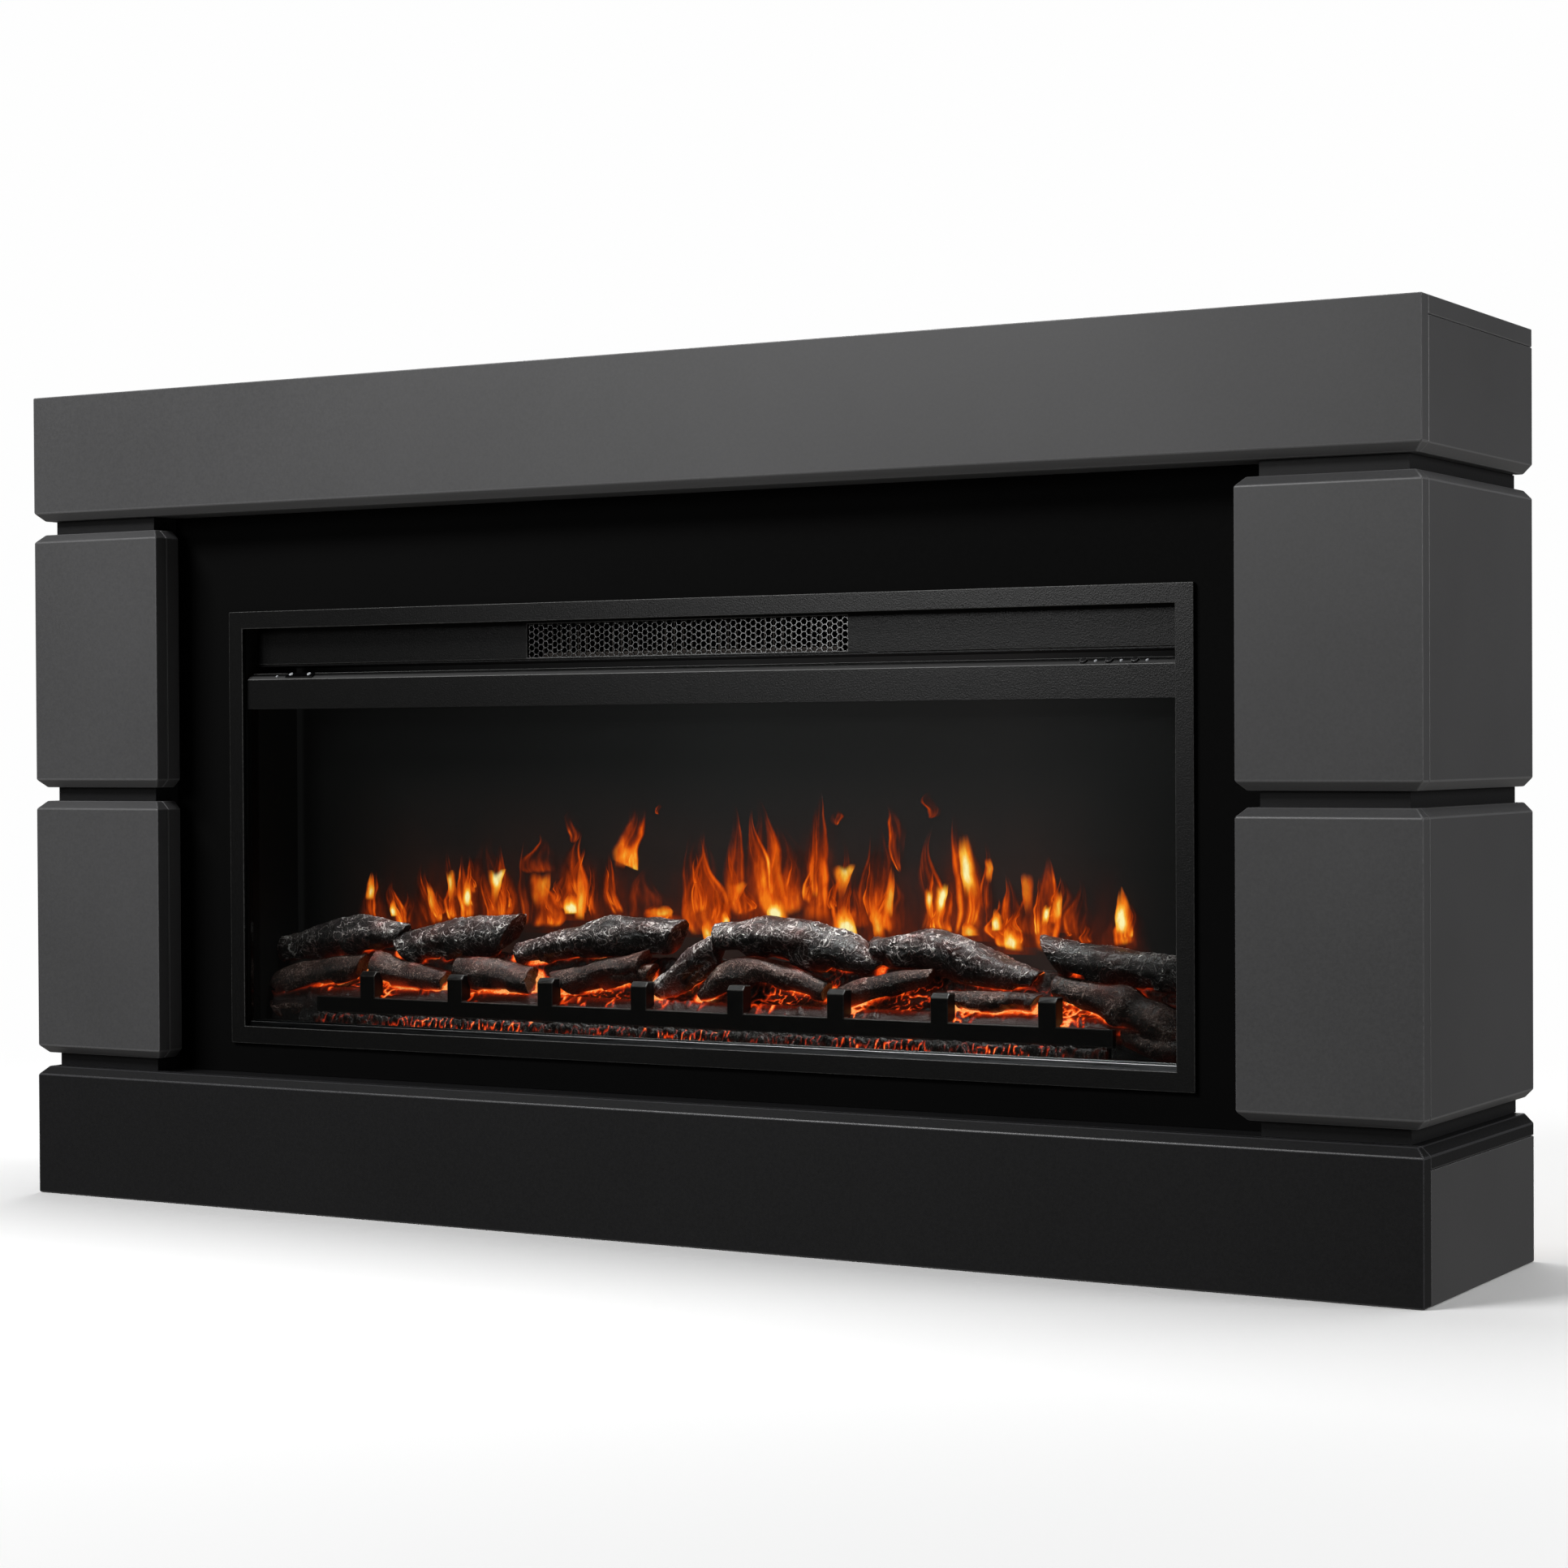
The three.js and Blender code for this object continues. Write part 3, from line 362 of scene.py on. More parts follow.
def brushed_metal(name, colour, roughness, pitch_mm, axis_scale, painted_shade_left_share=1.0):
    """Bare metal with a fine directional or blotchy surface, painted darker towards the left if wanted:
    painted shade.
    """
    made, tree = new_material(name)
    place = add(tree, "TexCoord").outputs["Object"]
    run = add(tree, "Mapping", {"Vector": place, "Scale": axis_scale})
    lines = add(tree, "TexNoise", {
        "Vector": run, "Scale": 1000.0 / pitch_mm, "Detail": 3.0, "Roughness": 0.6})
    tone = add(tree, "MapRange", (lines, 0.3, 0.7, 0.8, 1.1))
    if painted_shade_left_share < 1:
        spot = add(tree, "SeparateXYZ", (place,))
        painted_left_shade = add(tree, "MapRange", (spot.outputs["X"], -0.45, 0.35, painted_shade_left_share))
        tone = add(tree, "Math", (tone, painted_left_shade), operation="MULTIPLY")
    metal_tone = add(tree, "VectorMath", {0: hue(colour)[:3], "Scale": tone}, operation="SCALE")
    gloss = add(tree, "MapRange", (lines, 0.3, 0.7, roughness - 0.08, roughness + 0.1))
    metal = add(tree, "BsdfPrincipled", {
        "Base Color": metal_tone, "Metallic": 1.0, "Roughness": gloss})
    close(tree, metal)
    return made


PLAIN, ALONG_X = (1, 1, 1), (0.05, 1, 1)  # shares of the pattern's scale along X, Y and Z
dress(powder_coat("black_powder_coated_steel", "#090909", 0.29), "trim_frame")
dress(powder_coat("black_powder_coat_on_the_fascia", "#070707", 0.31, specular=0.33),
      "heater_fascia", "heater_shelf")
# the hood's ledge: painted lighter in front as painted top light, dark behind as painted shadow of the
# fascia
dress(powder_coat("black_powder_coat_with_painted_top_light_and_shadow", "#0A0A0A", 0.29, "#494949",
                  lit_depth=(hood_low.y + 3.0 * MM, hood_low.y + 5.5 * MM)), "hood_bar")
dress(powder_coat("black_powder_coat_inside", "#0B0B0B", 0.6),
      "casing_side_left", "casing_side_right", "bed_tray")
dress(powder_coat("black_stove_enamel_on_the_bar", "#060303", 0.5, specular=0.2), "grate")
dress(brushed_metal("galvanised_sheet_steel", "#B4B7B9", 0.5, 7.0, PLAIN),
      "casing_bottom", "casing_top", "casing_back")
dress(brushed_metal("cold_rolled_steel", "#8C8E90", 0.35, 0.8, ALONG_X),
      "blower_motor", "flicker_motor")
dress(brushed_metal("milled_aluminium", "#C9CBCE", 0.32, 0.8, ALONG_X),
      "blower_wheel", "flicker_rod")
dress(brushed_metal("heat_tinted_fins_of_the_element", "#3E3A37", 0.45, 2.0, (1, 1, 0.2)),
      "heating_element")
# the lighter coats on these bevels are painted highlights, lighter still on the ledge's upward faces
soften(0.7 * MM, 2, powder_coat("powder_coat_with_painted_highlight_on_the_folds", "#3C3C3B", 0.36),
       "trim_frame", "heater_fascia")
soften(0.7 * MM, 2, powder_coat("powder_coat_with_painted_highlight_on_the_ledge", "#121212", 0.36, "#7A7A79"),
       "hood_bar")
soften(1.3 * MM, 3, powder_coat("powder_coat_with_painted_highlight_on_the_bar", "#2B2725", 0.4), "grate")


# %% Moulded plastic and circuit boards
def moulded_plastic(name, colour, roughness):
    """Injection-moulded ABS with a fine spark-eroded texture."""
    made, tree = new_material(name)
    place = add(tree, "TexCoord").outputs["Object"]
    spark = add(tree, "TexNoise", {"Vector": place, "Scale": 1400.0, "Detail": 2.0})
    skin = add(tree, "Bump", {"Height": spark, "Strength": 0.12, "Distance": 0.0002})
    gloss = add(tree, "MapRange", (spark, 0, 1, roughness - 0.06, roughness + 0.08))
    body = add(tree, "BsdfPrincipled", {
        "Base Color": hue(colour), "Roughness": gloss, "Normal": skin, "IOR": 1.54})
    close(tree, body)
    return made


def circuit_laminate(name):
    """Glass-fibre board: green resist over copper tracks a millimetre apart."""
    made, tree = new_material(name)
    place = add(tree, "TexCoord").outputs["Object"]
    tracks = add(tree, "TexBrick", {
        "Vector": place, "Scale": 260.0, "Mortar Size": 0.06, "Color1": hue("#0F4A2E"),
        "Color2": hue("#15563A"), "Mortar": hue("#2E7A54")})
    pads = add(tree, "TexVoronoi", {"Vector": place, "Scale": 330.0})
    tin = add(tree, "Math", (pads, 0.16), operation="LESS_THAN")
    tone = add(tree, "Mix", {"Factor": tin, MIX_A: tracks, MIX_B: hue("#C8C8C0")}, data_type="RGBA")
    board = add(tree, "BsdfPrincipled", {
        "Base Color": tone.outputs[MIX_RESULT], "Metallic": tin, "Roughness": 0.35, "IOR": 1.55})
    close(tree, board)
    return made


buttons = ("button_1", "button_2", "button_3")
dress(moulded_plastic("moulded_black_abs", "#141415", 0.42),
      "cord_inlet", "blower_housing", "rod_bearing", *buttons)
dress(moulded_plastic("polished_black_lens_plastic", "#060607", 0.12), "receiver_window")
dress(circuit_laminate("glass_fibre_circuit_board"),
      "control_board", "button_board", "led_strip", "flame_lamps")
print("metal and plastic dressed")

# %% [markdown]
# ## Glass and its channel
# The front glass is a flat 4 mm pane. It bends nothing that the eye would notice, so it is drawn as
# a clear surface with a mirror layer whose strength follows the angle, and lamps shine through it.

# %% Glass pane, channel and flame screen
clear_pane, tree = new_material("clear_float_glass")
angle = add(tree, "Fresnel", {"IOR": 1.5})
smear = add(tree, "TexNoise", {"Scale": 18.0, "Detail": 4.0})
rough = add(tree, "MapRange", (smear, 0, 1, 0.02, 0.09))
mirror = add(tree, "BsdfGlossy", {"Color": hue("#8A8A8A"), "Roughness": rough})
through = add(tree, "BsdfTransparent", {"Color": hue("#F8FAF9")})
pane = add(tree, "MixShader", (angle, through, mirror))
close(tree, pane)
dress(clear_pane, "front_glass")

ROLLED = (0.02, 1, 1)
# the channel is painted darker towards its left end, a painted shade, and its lip is painted lighter, a
# painted highlight
dress(brushed_metal("satin_steel_channel_painted_darker_to_the_left", "#6E7072", 0.3, 0.6, ROLLED, painted_shade_left_share=0.16),
      "glass_channel")
soften(0.8 * MM, 2, brushed_metal("steel_with_painted_highlight_on_the_lip", "#949596", 0.34, 0.6, ROLLED, painted_shade_left_share=0.16),
       "glass_channel")

screen_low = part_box("flame_screen")[0]
smoked, tree = new_material("smoked_acrylic_screen")
place = add(tree, "TexCoord").outputs["Object"]
split = add(tree, "SeparateXYZ", (place,))
# the screen's emission is painted light: a faint brown glow low in the middle, painted flame light, and
# a grey sheen along X, a painted reflection with a lighter strip at its left edge
lower = add(tree, "MapRange", (split.outputs["Z"], 0.45, 0.27), interpolation_type="SMOOTHSTEP")
sides = add(tree, "Math", (split.outputs["X"],), operation="ABSOLUTE")
middle = add(tree, "MapRange", (sides, 0.49, 0.30), interpolation_type="SMOOTHSTEP")
smoke = add(tree, "TexNoise", {"Vector": place, "Scale": 16.0, "Detail": 4.0, "Distortion": 0.6})
along_x = add(tree, "MapRange", (split.outputs["X"], -0.52, 0.52))
sheen = add(tree, "ValToRGB", (along_x,))
ramp_stops(sheen, [
    (0.014, "#0B0B0B"), (0.016, "#010101"), (0.10, "#080808"), (0.28, "#101010"), (0.42, "#161616"),
    (0.52, "#1B1B1B"), (0.8, "#1D1C1C"), (0.9, "#151515"), (0.98, "#0B0B0B")])
haze = add(tree, "Math", (lower, middle), operation="MULTIPLY")
veil = add(tree, "Math", (haze, smoke), operation="MULTIPLY")
brown = add(tree, "VectorMath", {0: hue("#2E150B")[:3], "Scale": veil}, operation="SCALE")
lit = add(tree, "VectorMath", (brown, sheen), operation="ADD")
plate = add(tree, "BsdfPrincipled", {
    "Base Color": hue("#060606"), "Roughness": 0.4, "IOR": 1.49, "Specular IOR Level": 0.15,
    "Emission Color": lit, "Emission Strength": 1.0})
close(tree, plate)
dress(smoked, "flame_screen")
print("glass, channel and screen dressed")

# %% [markdown]
# ## The perforated grille
# Warm air leaves through a thin nickelled plate punched with hexagonal holes, 6.2 mm apart, with
# narrow webs between them. A pattern of dots in a material would look flat from the side, so each
# hole is real: a ring of six quads on the front, six on the back and six walls between them.

# %% Grille with hexagonal holes
HOLE_PITCH = 6.2 * MM
HOLE_SIZE = 5.35 * MM  # across the flats
PLATE_T = 1.0 * MM
RIM = 1.6 * MM
RECESS = 0.4 * MM  # of the punched field behind the rim


def join_rings(edit, rings):
    """Quads between each ring of corners and the next."""
    for a, b in zip(rings, rings[1:]):
        for k in range(len(a)):
            after = (k + 1) % len(a)
            edit.faces.new((a[k], a[after], b[after], b[k]))


def honeycomb(name, low, high, material):
    """A punched plate with a plain rim between two corners, facing -Y."""
    x0, x1, z0, z1 = low.x + RIM, high.x - RIM, low.z + RIM, high.z - RIM
    columns = int((x1 - x0) / (HOLE_PITCH * math.sqrt(3) / 2))
    rows = int((z1 - z0) / HOLE_PITCH + 0.5) + 1
    edit = bmesh.new()
    outer_r, inner_r = HOLE_PITCH / math.sqrt(3), HOLE_SIZE / math.sqrt(3)
    front, back = low.y + RECESS, low.y + RECESS + PLATE_T
    for column in range(columns):
        for row in range(rows):
            cx = x0 + (column + 0.5) * (x1 - x0) / columns
            cz = z0 + (row + 0.5 * (column % 2)) * HOLE_PITCH
            if cz > z1 - 0.1 * HOLE_PITCH:
                continue
            join_rings(edit, [[edit.verts.new((
                min(max(cx + radius * math.cos(math.radians(60 * k)), x0), x1), y,
                min(max(cz + radius * math.sin(math.radians(60 * k)), z0), z1))) for k in range(6)]
                for radius, y in ((outer_r, front), (inner_r, front), (inner_r, back), (outer_r, back))])
    corners = [(low.x, low.z), (high.x, low.z), (high.x, high.z), (low.x, high.z)]
    inner = [(x0, z0), (x1, z0), (x1, z1), (x0, z1)]
    join_rings(edit, [[edit.verts.new((x, y, z)) for x, z in outline] for outline, y in (
        (corners, back), (corners, low.y), (inner, low.y), (inner, back))])
    bmesh.ops.remove_doubles(edit, verts=edit.verts, dist=0.02 * MM)
    bmesh.ops.recalc_face_normals(edit, faces=edit.faces)
    return object_from_edit(name, edit, material)


grille_low, grille_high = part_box("outlet_grille")
grille_steel = brushed_metal("nickelled_steel", "#B4B4B4", 0.2, 0.5, PLAIN)
grille = honeycomb("outlet_grille_plate", grille_low, grille_high, grille_steel)
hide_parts("outlet_grille")
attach(grille, "fireplace")
print("grille", len(grille.data.polygons), "faces")

# %% [markdown]
# ### Indicator lamps and glints on the receiver's window
# Beside each button sits a small clear lamp, and on the receiver's window two pale domes stand for the
# glints on its gloss: a painted reflection. They are too small for the model, so they are turned here
# as little domes. A ray sent down on the hood finds where the slanted ledge lies, and which way it
# faces.

# %% Small domes on the hood's ledge
lamp_plastic = moulded_plastic("clear_lamp_plastic", "#B9BCC0", 0.2)
DOME_SIDES = 24
DOME_PROFILE = [(1.0, 0.0), (0.98, 0.45), (0.82, 0.85), (0.55, 1.0), (0.02, 1.0)]  # radius, height
LEDGE_DEPTH = 4.2 * MM  # from the hood's face to the middle of the ledge


def dome_piece(name, spots, ground="hood_bar"):
    """One piece made of domes that stand square on a surface: x, radius and height of each."""
    edit = bmesh.new()
    for x, radius, height in spots:
        above = Vector((x, hood_low.y + LEDGE_DEPTH, hood_high.z + 20 * MM))
        _, where, facing, _ = nodes[ground].ray_cast(above, Vector((0, 0, -1)))
        turned = facing.to_track_quat("Z", "Y").to_matrix()
        angles = [2 * math.pi * k / DOME_SIDES for k in range(DOME_SIDES)]
        join_rings(edit, [[edit.verts.new(where + turned @ Vector((
            r * radius * math.cos(a), r * radius * math.sin(a), h * height))) for a in angles]
            for r, h in DOME_PROFILE])
    made = object_from_edit(name, edit, lamp_plastic)
    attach(made, "fireplace")


def middle_x(name):
    """Middle of a CAD node along X."""
    low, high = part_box(name)
    return (low.x + high.x) / 2


button_x = [middle_x(name) for name in buttons]
window_x = middle_x("receiver_window")
dome_piece("indicator_lamps", [(x + 11.5 * MM, 1.6 * MM, 1.0 * MM) for x in button_x]
           + [(window_x - 30 * MM, 1.4 * MM, 0.9 * MM)])
# the buttons' grey rims are a painted highlight
soften(0.4 * MM, 2, moulded_plastic("painted_rim_highlight_on_the_buttons", "#6C6C6D", 0.3), *buttons)
dome_piece("painted_glints_on_the_receiver_window", [(window_x + k * 12 * MM, 2.3 * MM, 0.8 * MM) for k in (-1, 0.9)],
           "receiver_window")
print("buttons at", [round(x, 3) for x in button_x], "window at", round(window_x, 3))

# %% [markdown]
# ## Bark, chips and ash: noise as a sculptor's tool
# The log set is one resin casting, painted by hand: black, then dry-brushed with silver so that
# only the ridges take paint. The same relief therefore has to shape the surface and to colour it.
# The relief is worked out here, at each vertex, and kept as an attribute that the material reads.


# %% Smooth noise on points
GRID = 32
SEED_SHIFT = np.array([7.3, 3.1, 5.7])  # cells between the noise of one seed and the next
NOISE_GAIN = 1.6
lattice = np.random.default_rng(11).normal(size=(GRID, GRID, GRID, 3))
lattice /= np.linalg.norm(lattice, axis=3, keepdims=True)


def noise_at(points, cell, seed=0):
    """Gradient noise, about -1 to 1, with features one cell wide."""
    p = np.asarray(points) / cell + SEED_SHIFT * (seed + 1)
    base = np.floor(p).astype(int)
    part = p - base
    ease = part ** 3 * (part * (part * 6 - 15) + 10)
    total = np.zeros(len(p))
    for corner in range(8):
        step = np.array([corner & 1, corner >> 1 & 1, corner >> 2 & 1])
        index = (base + step) % GRID
        slope = lattice[index[:, 0], index[:, 1], index[:, 2]]
        weight = np.prod(np.where(step, ease, 1 - ease), axis=1)
        total += weight * np.sum(slope * (part - step), axis=1)
    return total * NOISE_GAIN


def smooth_step(low, high, value):
    """0 up to low, 1 from high on, smooth between; low may be the larger of the two."""
    t = np.clip((value - low) / (high - low), 0, 1)
    return t * t * (3 - 2 * t)


def mesh_piece(name, points, faces, attributes, material):
    """A smooth-shaded object from arrays, with its float attributes."""
    mesh = bpy.data.meshes.new(name)
    mesh.from_pydata([tuple(p) for p in points], [], faces)
    mesh.polygons.foreach_set("use_smooth", [True] * len(mesh.polygons))
    for key, values in attributes.items():
        made = mesh.attributes.new(key, "FLOAT", "POINT")
        made.data.foreach_set("value", np.asarray(values, np.float32))
    mesh.update()
    return object_from(name, mesh, material)


def grid_faces(rows, columns, closed):
    """Quads over a grid of points, joined round if closed."""
    faces = []
    for i in range(rows - 1):
        for k in range(columns if closed else columns - 1):
            a, b = i * columns + k, i * columns + (k + 1) % columns
            faces.append((a, b, b + columns, a + columns))
    return faces


# %% [markdown]
# ### Where the fire burns
# The flame picture is listed first, because the logs take their light from it: a log's upper side
# is lit orange where a flame stands behind it.

# %% Flame tongues and their bright hearts
# Tongue: foot (x, z), tip (x, z), width, bow to one side, sway both ways, all mm; heat 0 to 1.
TONGUES = [
    (-416, 286, -412, 333, 11, -4, 0, 0.35), (-381, 278, -391, 323, 14, -3, 0, 0.60),
    (-372, 281, -373, 315, 11, 4, 0, 0.25), (-344, 282, -352, 342, 11, -7, 0, 0.25),
    (-334, 282, -349, 334, 11, -2, 0, 0.60), (-328, 291, -332, 316, 11, 2, 0, 0.35),
    (-311, 287, -318, 331, 13, 0, 1, 0.60), (-294, 287, -302, 350, 16, 1, -2, 0.65),
    (-287, 313, -296, 353, 8, 1, 0, 0.50), (-315, 307, -320, 357, 8, -2, 0, 0.15),
    (-266, 288, -276, 334, 11, 0, 0, 0.50), (-260, 288, -257, 361, 17, 0, 2, 0.55),
    (-269, 286, -270, 371, 37, 0, 0, 0.12), (227, 287, 232, 379, 17, -2, 3, 0.50),
    (230, 392, 231, 416, 12, 0, 2, 0.30), (240, 289, 246, 329, 17, -2, 0, 0.65),
    (267, 286, 254, 393, 23, 9, 0, 0.60), (289, 309, 286, 371, 9, 2, 0, 0.25),
    (294, 287, 290, 333, 11, 0, 2, 0.20), (305, 283, 298, 320, 17, 0, -2, 0.50),
    (320, 275, 307, 340, 15, 0, -4, 0.50), (313, 274, 315, 310, 21, 0, 0, 0.60),
    (328, 286, 328, 334, 17, 2, 0, 0.15), (348, 272, 350, 356, 22, -3, -5, 0.65),
    (358, 296, 362, 341, 15, 2, 0, 0.50), (380, 285, 382, 338, 17, 0, 0, 0.20),
    (371, 287, 371, 295, 4, 0, 0, 0.50), (391, 281, 386, 298, 11, 0, 0, 0.30),
    (426, 280, 420, 324, 16, 6, 0, 0.70), (-14, 279, -21, 372, 24, 0, -3, 0.50),
    (-3, 285, -8, 333, 17, 0, 2, 0.30), (23, 296, 18, 399, 19, -3, 0, 0.45),
    (34, 301, 29, 331, 21, 0, 0, 0.40), (36, 358, 39, 380, 5, 0, 0, 0.20),
    (64, 296, 45, 405, 31, -5, 0, 0.65), (80, 299, 63, 384, 31, 7, 0, 0.40),
    (108, 292, 114, 411, 20, -4, 3, 0.50), (98, 311, 112, 361, 8, 0, 0, 0.55),
    (130, 385, 129, 400, 12, 0, 1, 0.25), (139, 285, 138, 370, 20, 2, 0, 0.40),
    (127, 306, 125, 335, 7, 0, 0, 0.50), (154, 288, 149, 333, 20, 0, -2, 0.35),
    (177, 284, 176, 381, 23, -3, 0, 0.40), (180, 288, 189, 336, 20, 4, 0, 0.55),
    (199, 342, 185, 403, 15, 3, 0, 0.45), (167, 288, 166, 377, 17, 0, 0, 0.15),
    (-247, 292, -245, 336, 12, 0, 1, 0.50), (-206, 281, -207, 338, 32, 0, 2, 0.50),
    (-206, 335, -207, 373, 26, 0, 0, 0.30), (-220, 283, -223, 367, 18, 0, 0, 0.12),
    (-169, 295, -157, 373, 23, -5, 0, 0.60), (-181, 299, -177, 341, 18, -2, 0, 0.45),
    (-167, 365, -170, 397, 15, 2, 0, 0.15), (-142, 294, -149, 344, 10, 2, 0, 0.40),
    (-115, 296, -128, 356, 12, -6, 0, 0.45), (-107, 344, -94, 398, 22, 0, 0, 0.50),
    (-68, 394, -68, 405, 5, 0, 0, 0.30), (-66, 292, -65, 307, 32, 0, 0, 0.50),
    (-77, 292, -77, 343, 41, 0, 0, 0.12), (-12, 280, -17, 375, 28, -3, 2, 0.50),
    (-29, 285, -30, 372, 20, 0, 0, 0.20), (3, 281, 5, 344, 20, 0, -2, 0.40),
]
# Heart: centre (x, z), width, height, lean at the top, all mm; whiteness 0 to 1; and its shape,
# from 0, a leaf with a flat foot, to 1, a wedge that stands on its point.
CORES = [
    (-416, 319, 8, 20, 2, 0.60, 0.1), (-386, 298, 7, 13, -1, 0.70, 0.0),
    (-338, 307, 9, 24, -3, 0.40, 0.4), (-314, 319, 10, 24, -1, 0.50, 0.7),
    (-295, 314, 9, 20, 1, 0.90, 0.2), (-260, 319, 15, 26, 1, 0.95, 1.0),
    (229, 312, 8, 22, 0, 0.60, 0.8), (241, 315, 12, 25, 2, 1.00, 0.7),
    (270, 348, 15, 42, -3, 0.85, 0.4), (271, 292, 12, 10, -2, 0.50, 0.0),
    (291, 345, 8, 16, 0, 0.35, 0.6), (299, 301, 8, 15, -1, 0.85, 0.0),
    (315, 283, 15, 15, -2, 0.85, 0.2), (331, 324, 12, 28, -1, 0.15, 0.7),
    (348, 305, 8, 14, 2, 0.90, 0.6), (360, 314, 9, 22, 1, 0.45, 0.3),
    (425, 311, 12, 30, -1, 0.90, 0.1), (67, 303, 20, 18, -2, 0.95, 0.3),
    (139, 296, 18, 21, 0, 1.00, 0.0), (137, 331, 18, 24, 1, 0.55, 1.0),
    (22, 319, 14, 17, 2, 0.15, 1.0), (-10, 285, 12, 16, -3, 0.50, 0.0),
    (9, 296, 7, 10, 0, 0.70, 0.0), (175, 297, 11, 26, -3, 0.40, 0.3),
    (188, 323, 8, 33, 2, 0.40, 0.2), (-167, 306, 17, 14, -3, 0.85, 0.0),
    (-158, 321, 8, 42, 1, 0.45, 0.0), (-206, 317, 24, 26, 0, 0.15, 0.7),
    (-108, 353, 17, 16, 3, 0.25, 0.6), (-66, 299, 28, 9, 0, 0.40, 0.4),
]


def flame_feet_near(x):
    """How strongly a point at x is lit by the hot flames behind it, 0 to 1."""
    light = np.zeros(len(x))
    for row in TONGUES:
        if row[7] >= 0.5 and row[1] < 305:
            light = np.maximum(light, np.exp(-((x / MM - row[0]) / (0.7 * row[4] + 3)) ** 2))
    return light


print("fire", len(TONGUES), "tongues,", len(CORES), "hearts")

# %% [markdown]
# ### Charcoal and ember materials
# Relief drives the paint: pits stay black, ridges turn silver. A second attribute, glow, says how
# near a point is to the lamps' light in the bed below; it drives the red and orange emission. A third,
# tint, reddens the base colour where that light falls: painted red light.


# %% Charred resin
def charred_resin(name, stops, glow_strength, shine, curl_scale):
    """Painted resin with thin curled ridges. It glows where its glow attribute is high."""
    made, tree = new_material(name)
    place = add(tree, "TexCoord").outputs["Object"]
    relief = add(tree, "Attribute", attribute_name="relief").outputs["Fac"]
    glow = add(tree, "Attribute", attribute_name="glow").outputs["Fac"]
    fine = add(tree, "TexNoise", {"Vector": place, "Scale": 700.0, "Detail": 4.0, "Roughness": 0.7})
    patch = add(tree, "TexNoise", {"Vector": place, "Scale": 34.0, "Detail": 3.0, "Roughness": 0.6})
    fleck = add(tree, "MapRange", (fine, 0.3, 0.7, -0.08, 0.08))
    zone = add(tree, "MapRange", (patch, 0.35, 0.65, -0.16, 0.10))
    lines = []
    for scale, detail, bend, outer, inner, low, high in (
            (curl_scale, 1.5, 1.6, 0.036, 0.006, 0.0, 0.5),
            (curl_scale * 2.6, 1.0, 1.8, 0.05, 0.01, -0.06, 0.26)):
        curls = add(tree, "TexNoise", {
            "Vector": place, "Scale": scale, "Detail": detail, "Distortion": bend})
        centred = add(tree, "Math", (curls, 0.5), operation="SUBTRACT")
        off_line = add(tree, "Math", (centred,), operation="ABSOLUTE")
        lines.append(add(tree, "MapRange", (off_line, outer, inner, low, high)))
    both = add(tree, "Math", lines)
    lined = add(tree, "Math", (relief, both))
    first = add(tree, "Math", (lined, fleck))
    paint = add(tree, "Math", (first, zone), use_clamp=True)
    tone = add(tree, "ValToRGB", (paint,))
    ramp_stops(tone, stops)
    # tint reddens the base colour: painted red light of the embers and flames
    tint = add(tree, "Attribute", attribute_name="tint").outputs["Fac"]
    warm = add(tree, "Mix", {
        "Factor": tint, MIX_A: tone, MIX_B: hue("#8E3E30")}, data_type="RGBA", blend_type="MULTIPLY")
    heat_noise = add(tree, "MapRange", (fine, 0.3, 0.7, 0.75, 1.2))
    heat = add(tree, "Math", (glow, heat_noise), operation="MULTIPLY", use_clamp=True)
    fire = add(tree, "ValToRGB", (heat,))
    ramp_stops(fire, [(0.0, "#000000"), (0.18, "#2A0A04"), (0.42, "#8E1F08"), (0.68, "#F0480F"),
                      (0.88, "#FF7A2A"), (1.0, "#FFB46A")])
    pitted = add(tree, "Bump", {"Height": fine, "Strength": 0.35, "Distance": 0.0008})
    skin = add(tree, "Bump", {"Height": both, "Strength": 0.8, "Distance": 0.003, "Normal": pitted})
    body = add(tree, "BsdfPrincipled", {
        "Base Color": warm.outputs[MIX_RESULT], "Roughness": shine, "Normal": skin, "IOR": 1.5,
        "Emission Color": fire, "Emission Strength": glow_strength})
    close(tree, body)
    return made


silver_char = charred_resin("resin_painted_black_with_silver_ridges", [
    (0.0, "#0C0A0A"), (0.28, "#262020"), (0.46, "#463D3C"), (0.6, "#7C7170"), (0.8, "#D2CCCA"),
    (1.0, "#F6F2F0")], 1.0, 0.42, 64.0)
brown_char = charred_resin("resin_painted_brown_black", [
    (0.0, "#140D0B"), (0.33, "#3A2620"), (0.52, "#62463E"), (0.75, "#94766D"),
    (1.0, "#CDBBB2")], 1.0, 0.5, 120.0)
ember_resin = charred_resin("translucent_ember_resin", [
    (0.0, "#080505"), (0.45, "#160E0C"), (0.7, "#261A16"), (0.9, "#3E2E29"),
    (1.0, "#5A4942")], 1.25, 0.5, 160.0)

# %% [markdown]
# ### The bed under the logs
# A long moulding that rises in three steps from behind the grate bar to a shelf under the rear
# logs. It is drawn as a sheet of points over the bed's profile. Where a log lies close above it
# the lamps shine through, so glow follows the distance to the nearest log.

# %% Where the logs and the bed lie
wall_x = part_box("casing_side_right")[0].x
tray_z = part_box("log_set")[0].z - 0.4 * MM
bed_x = wall_x - 9.0 * MM
log_limit = wall_x - 1.2 * MM

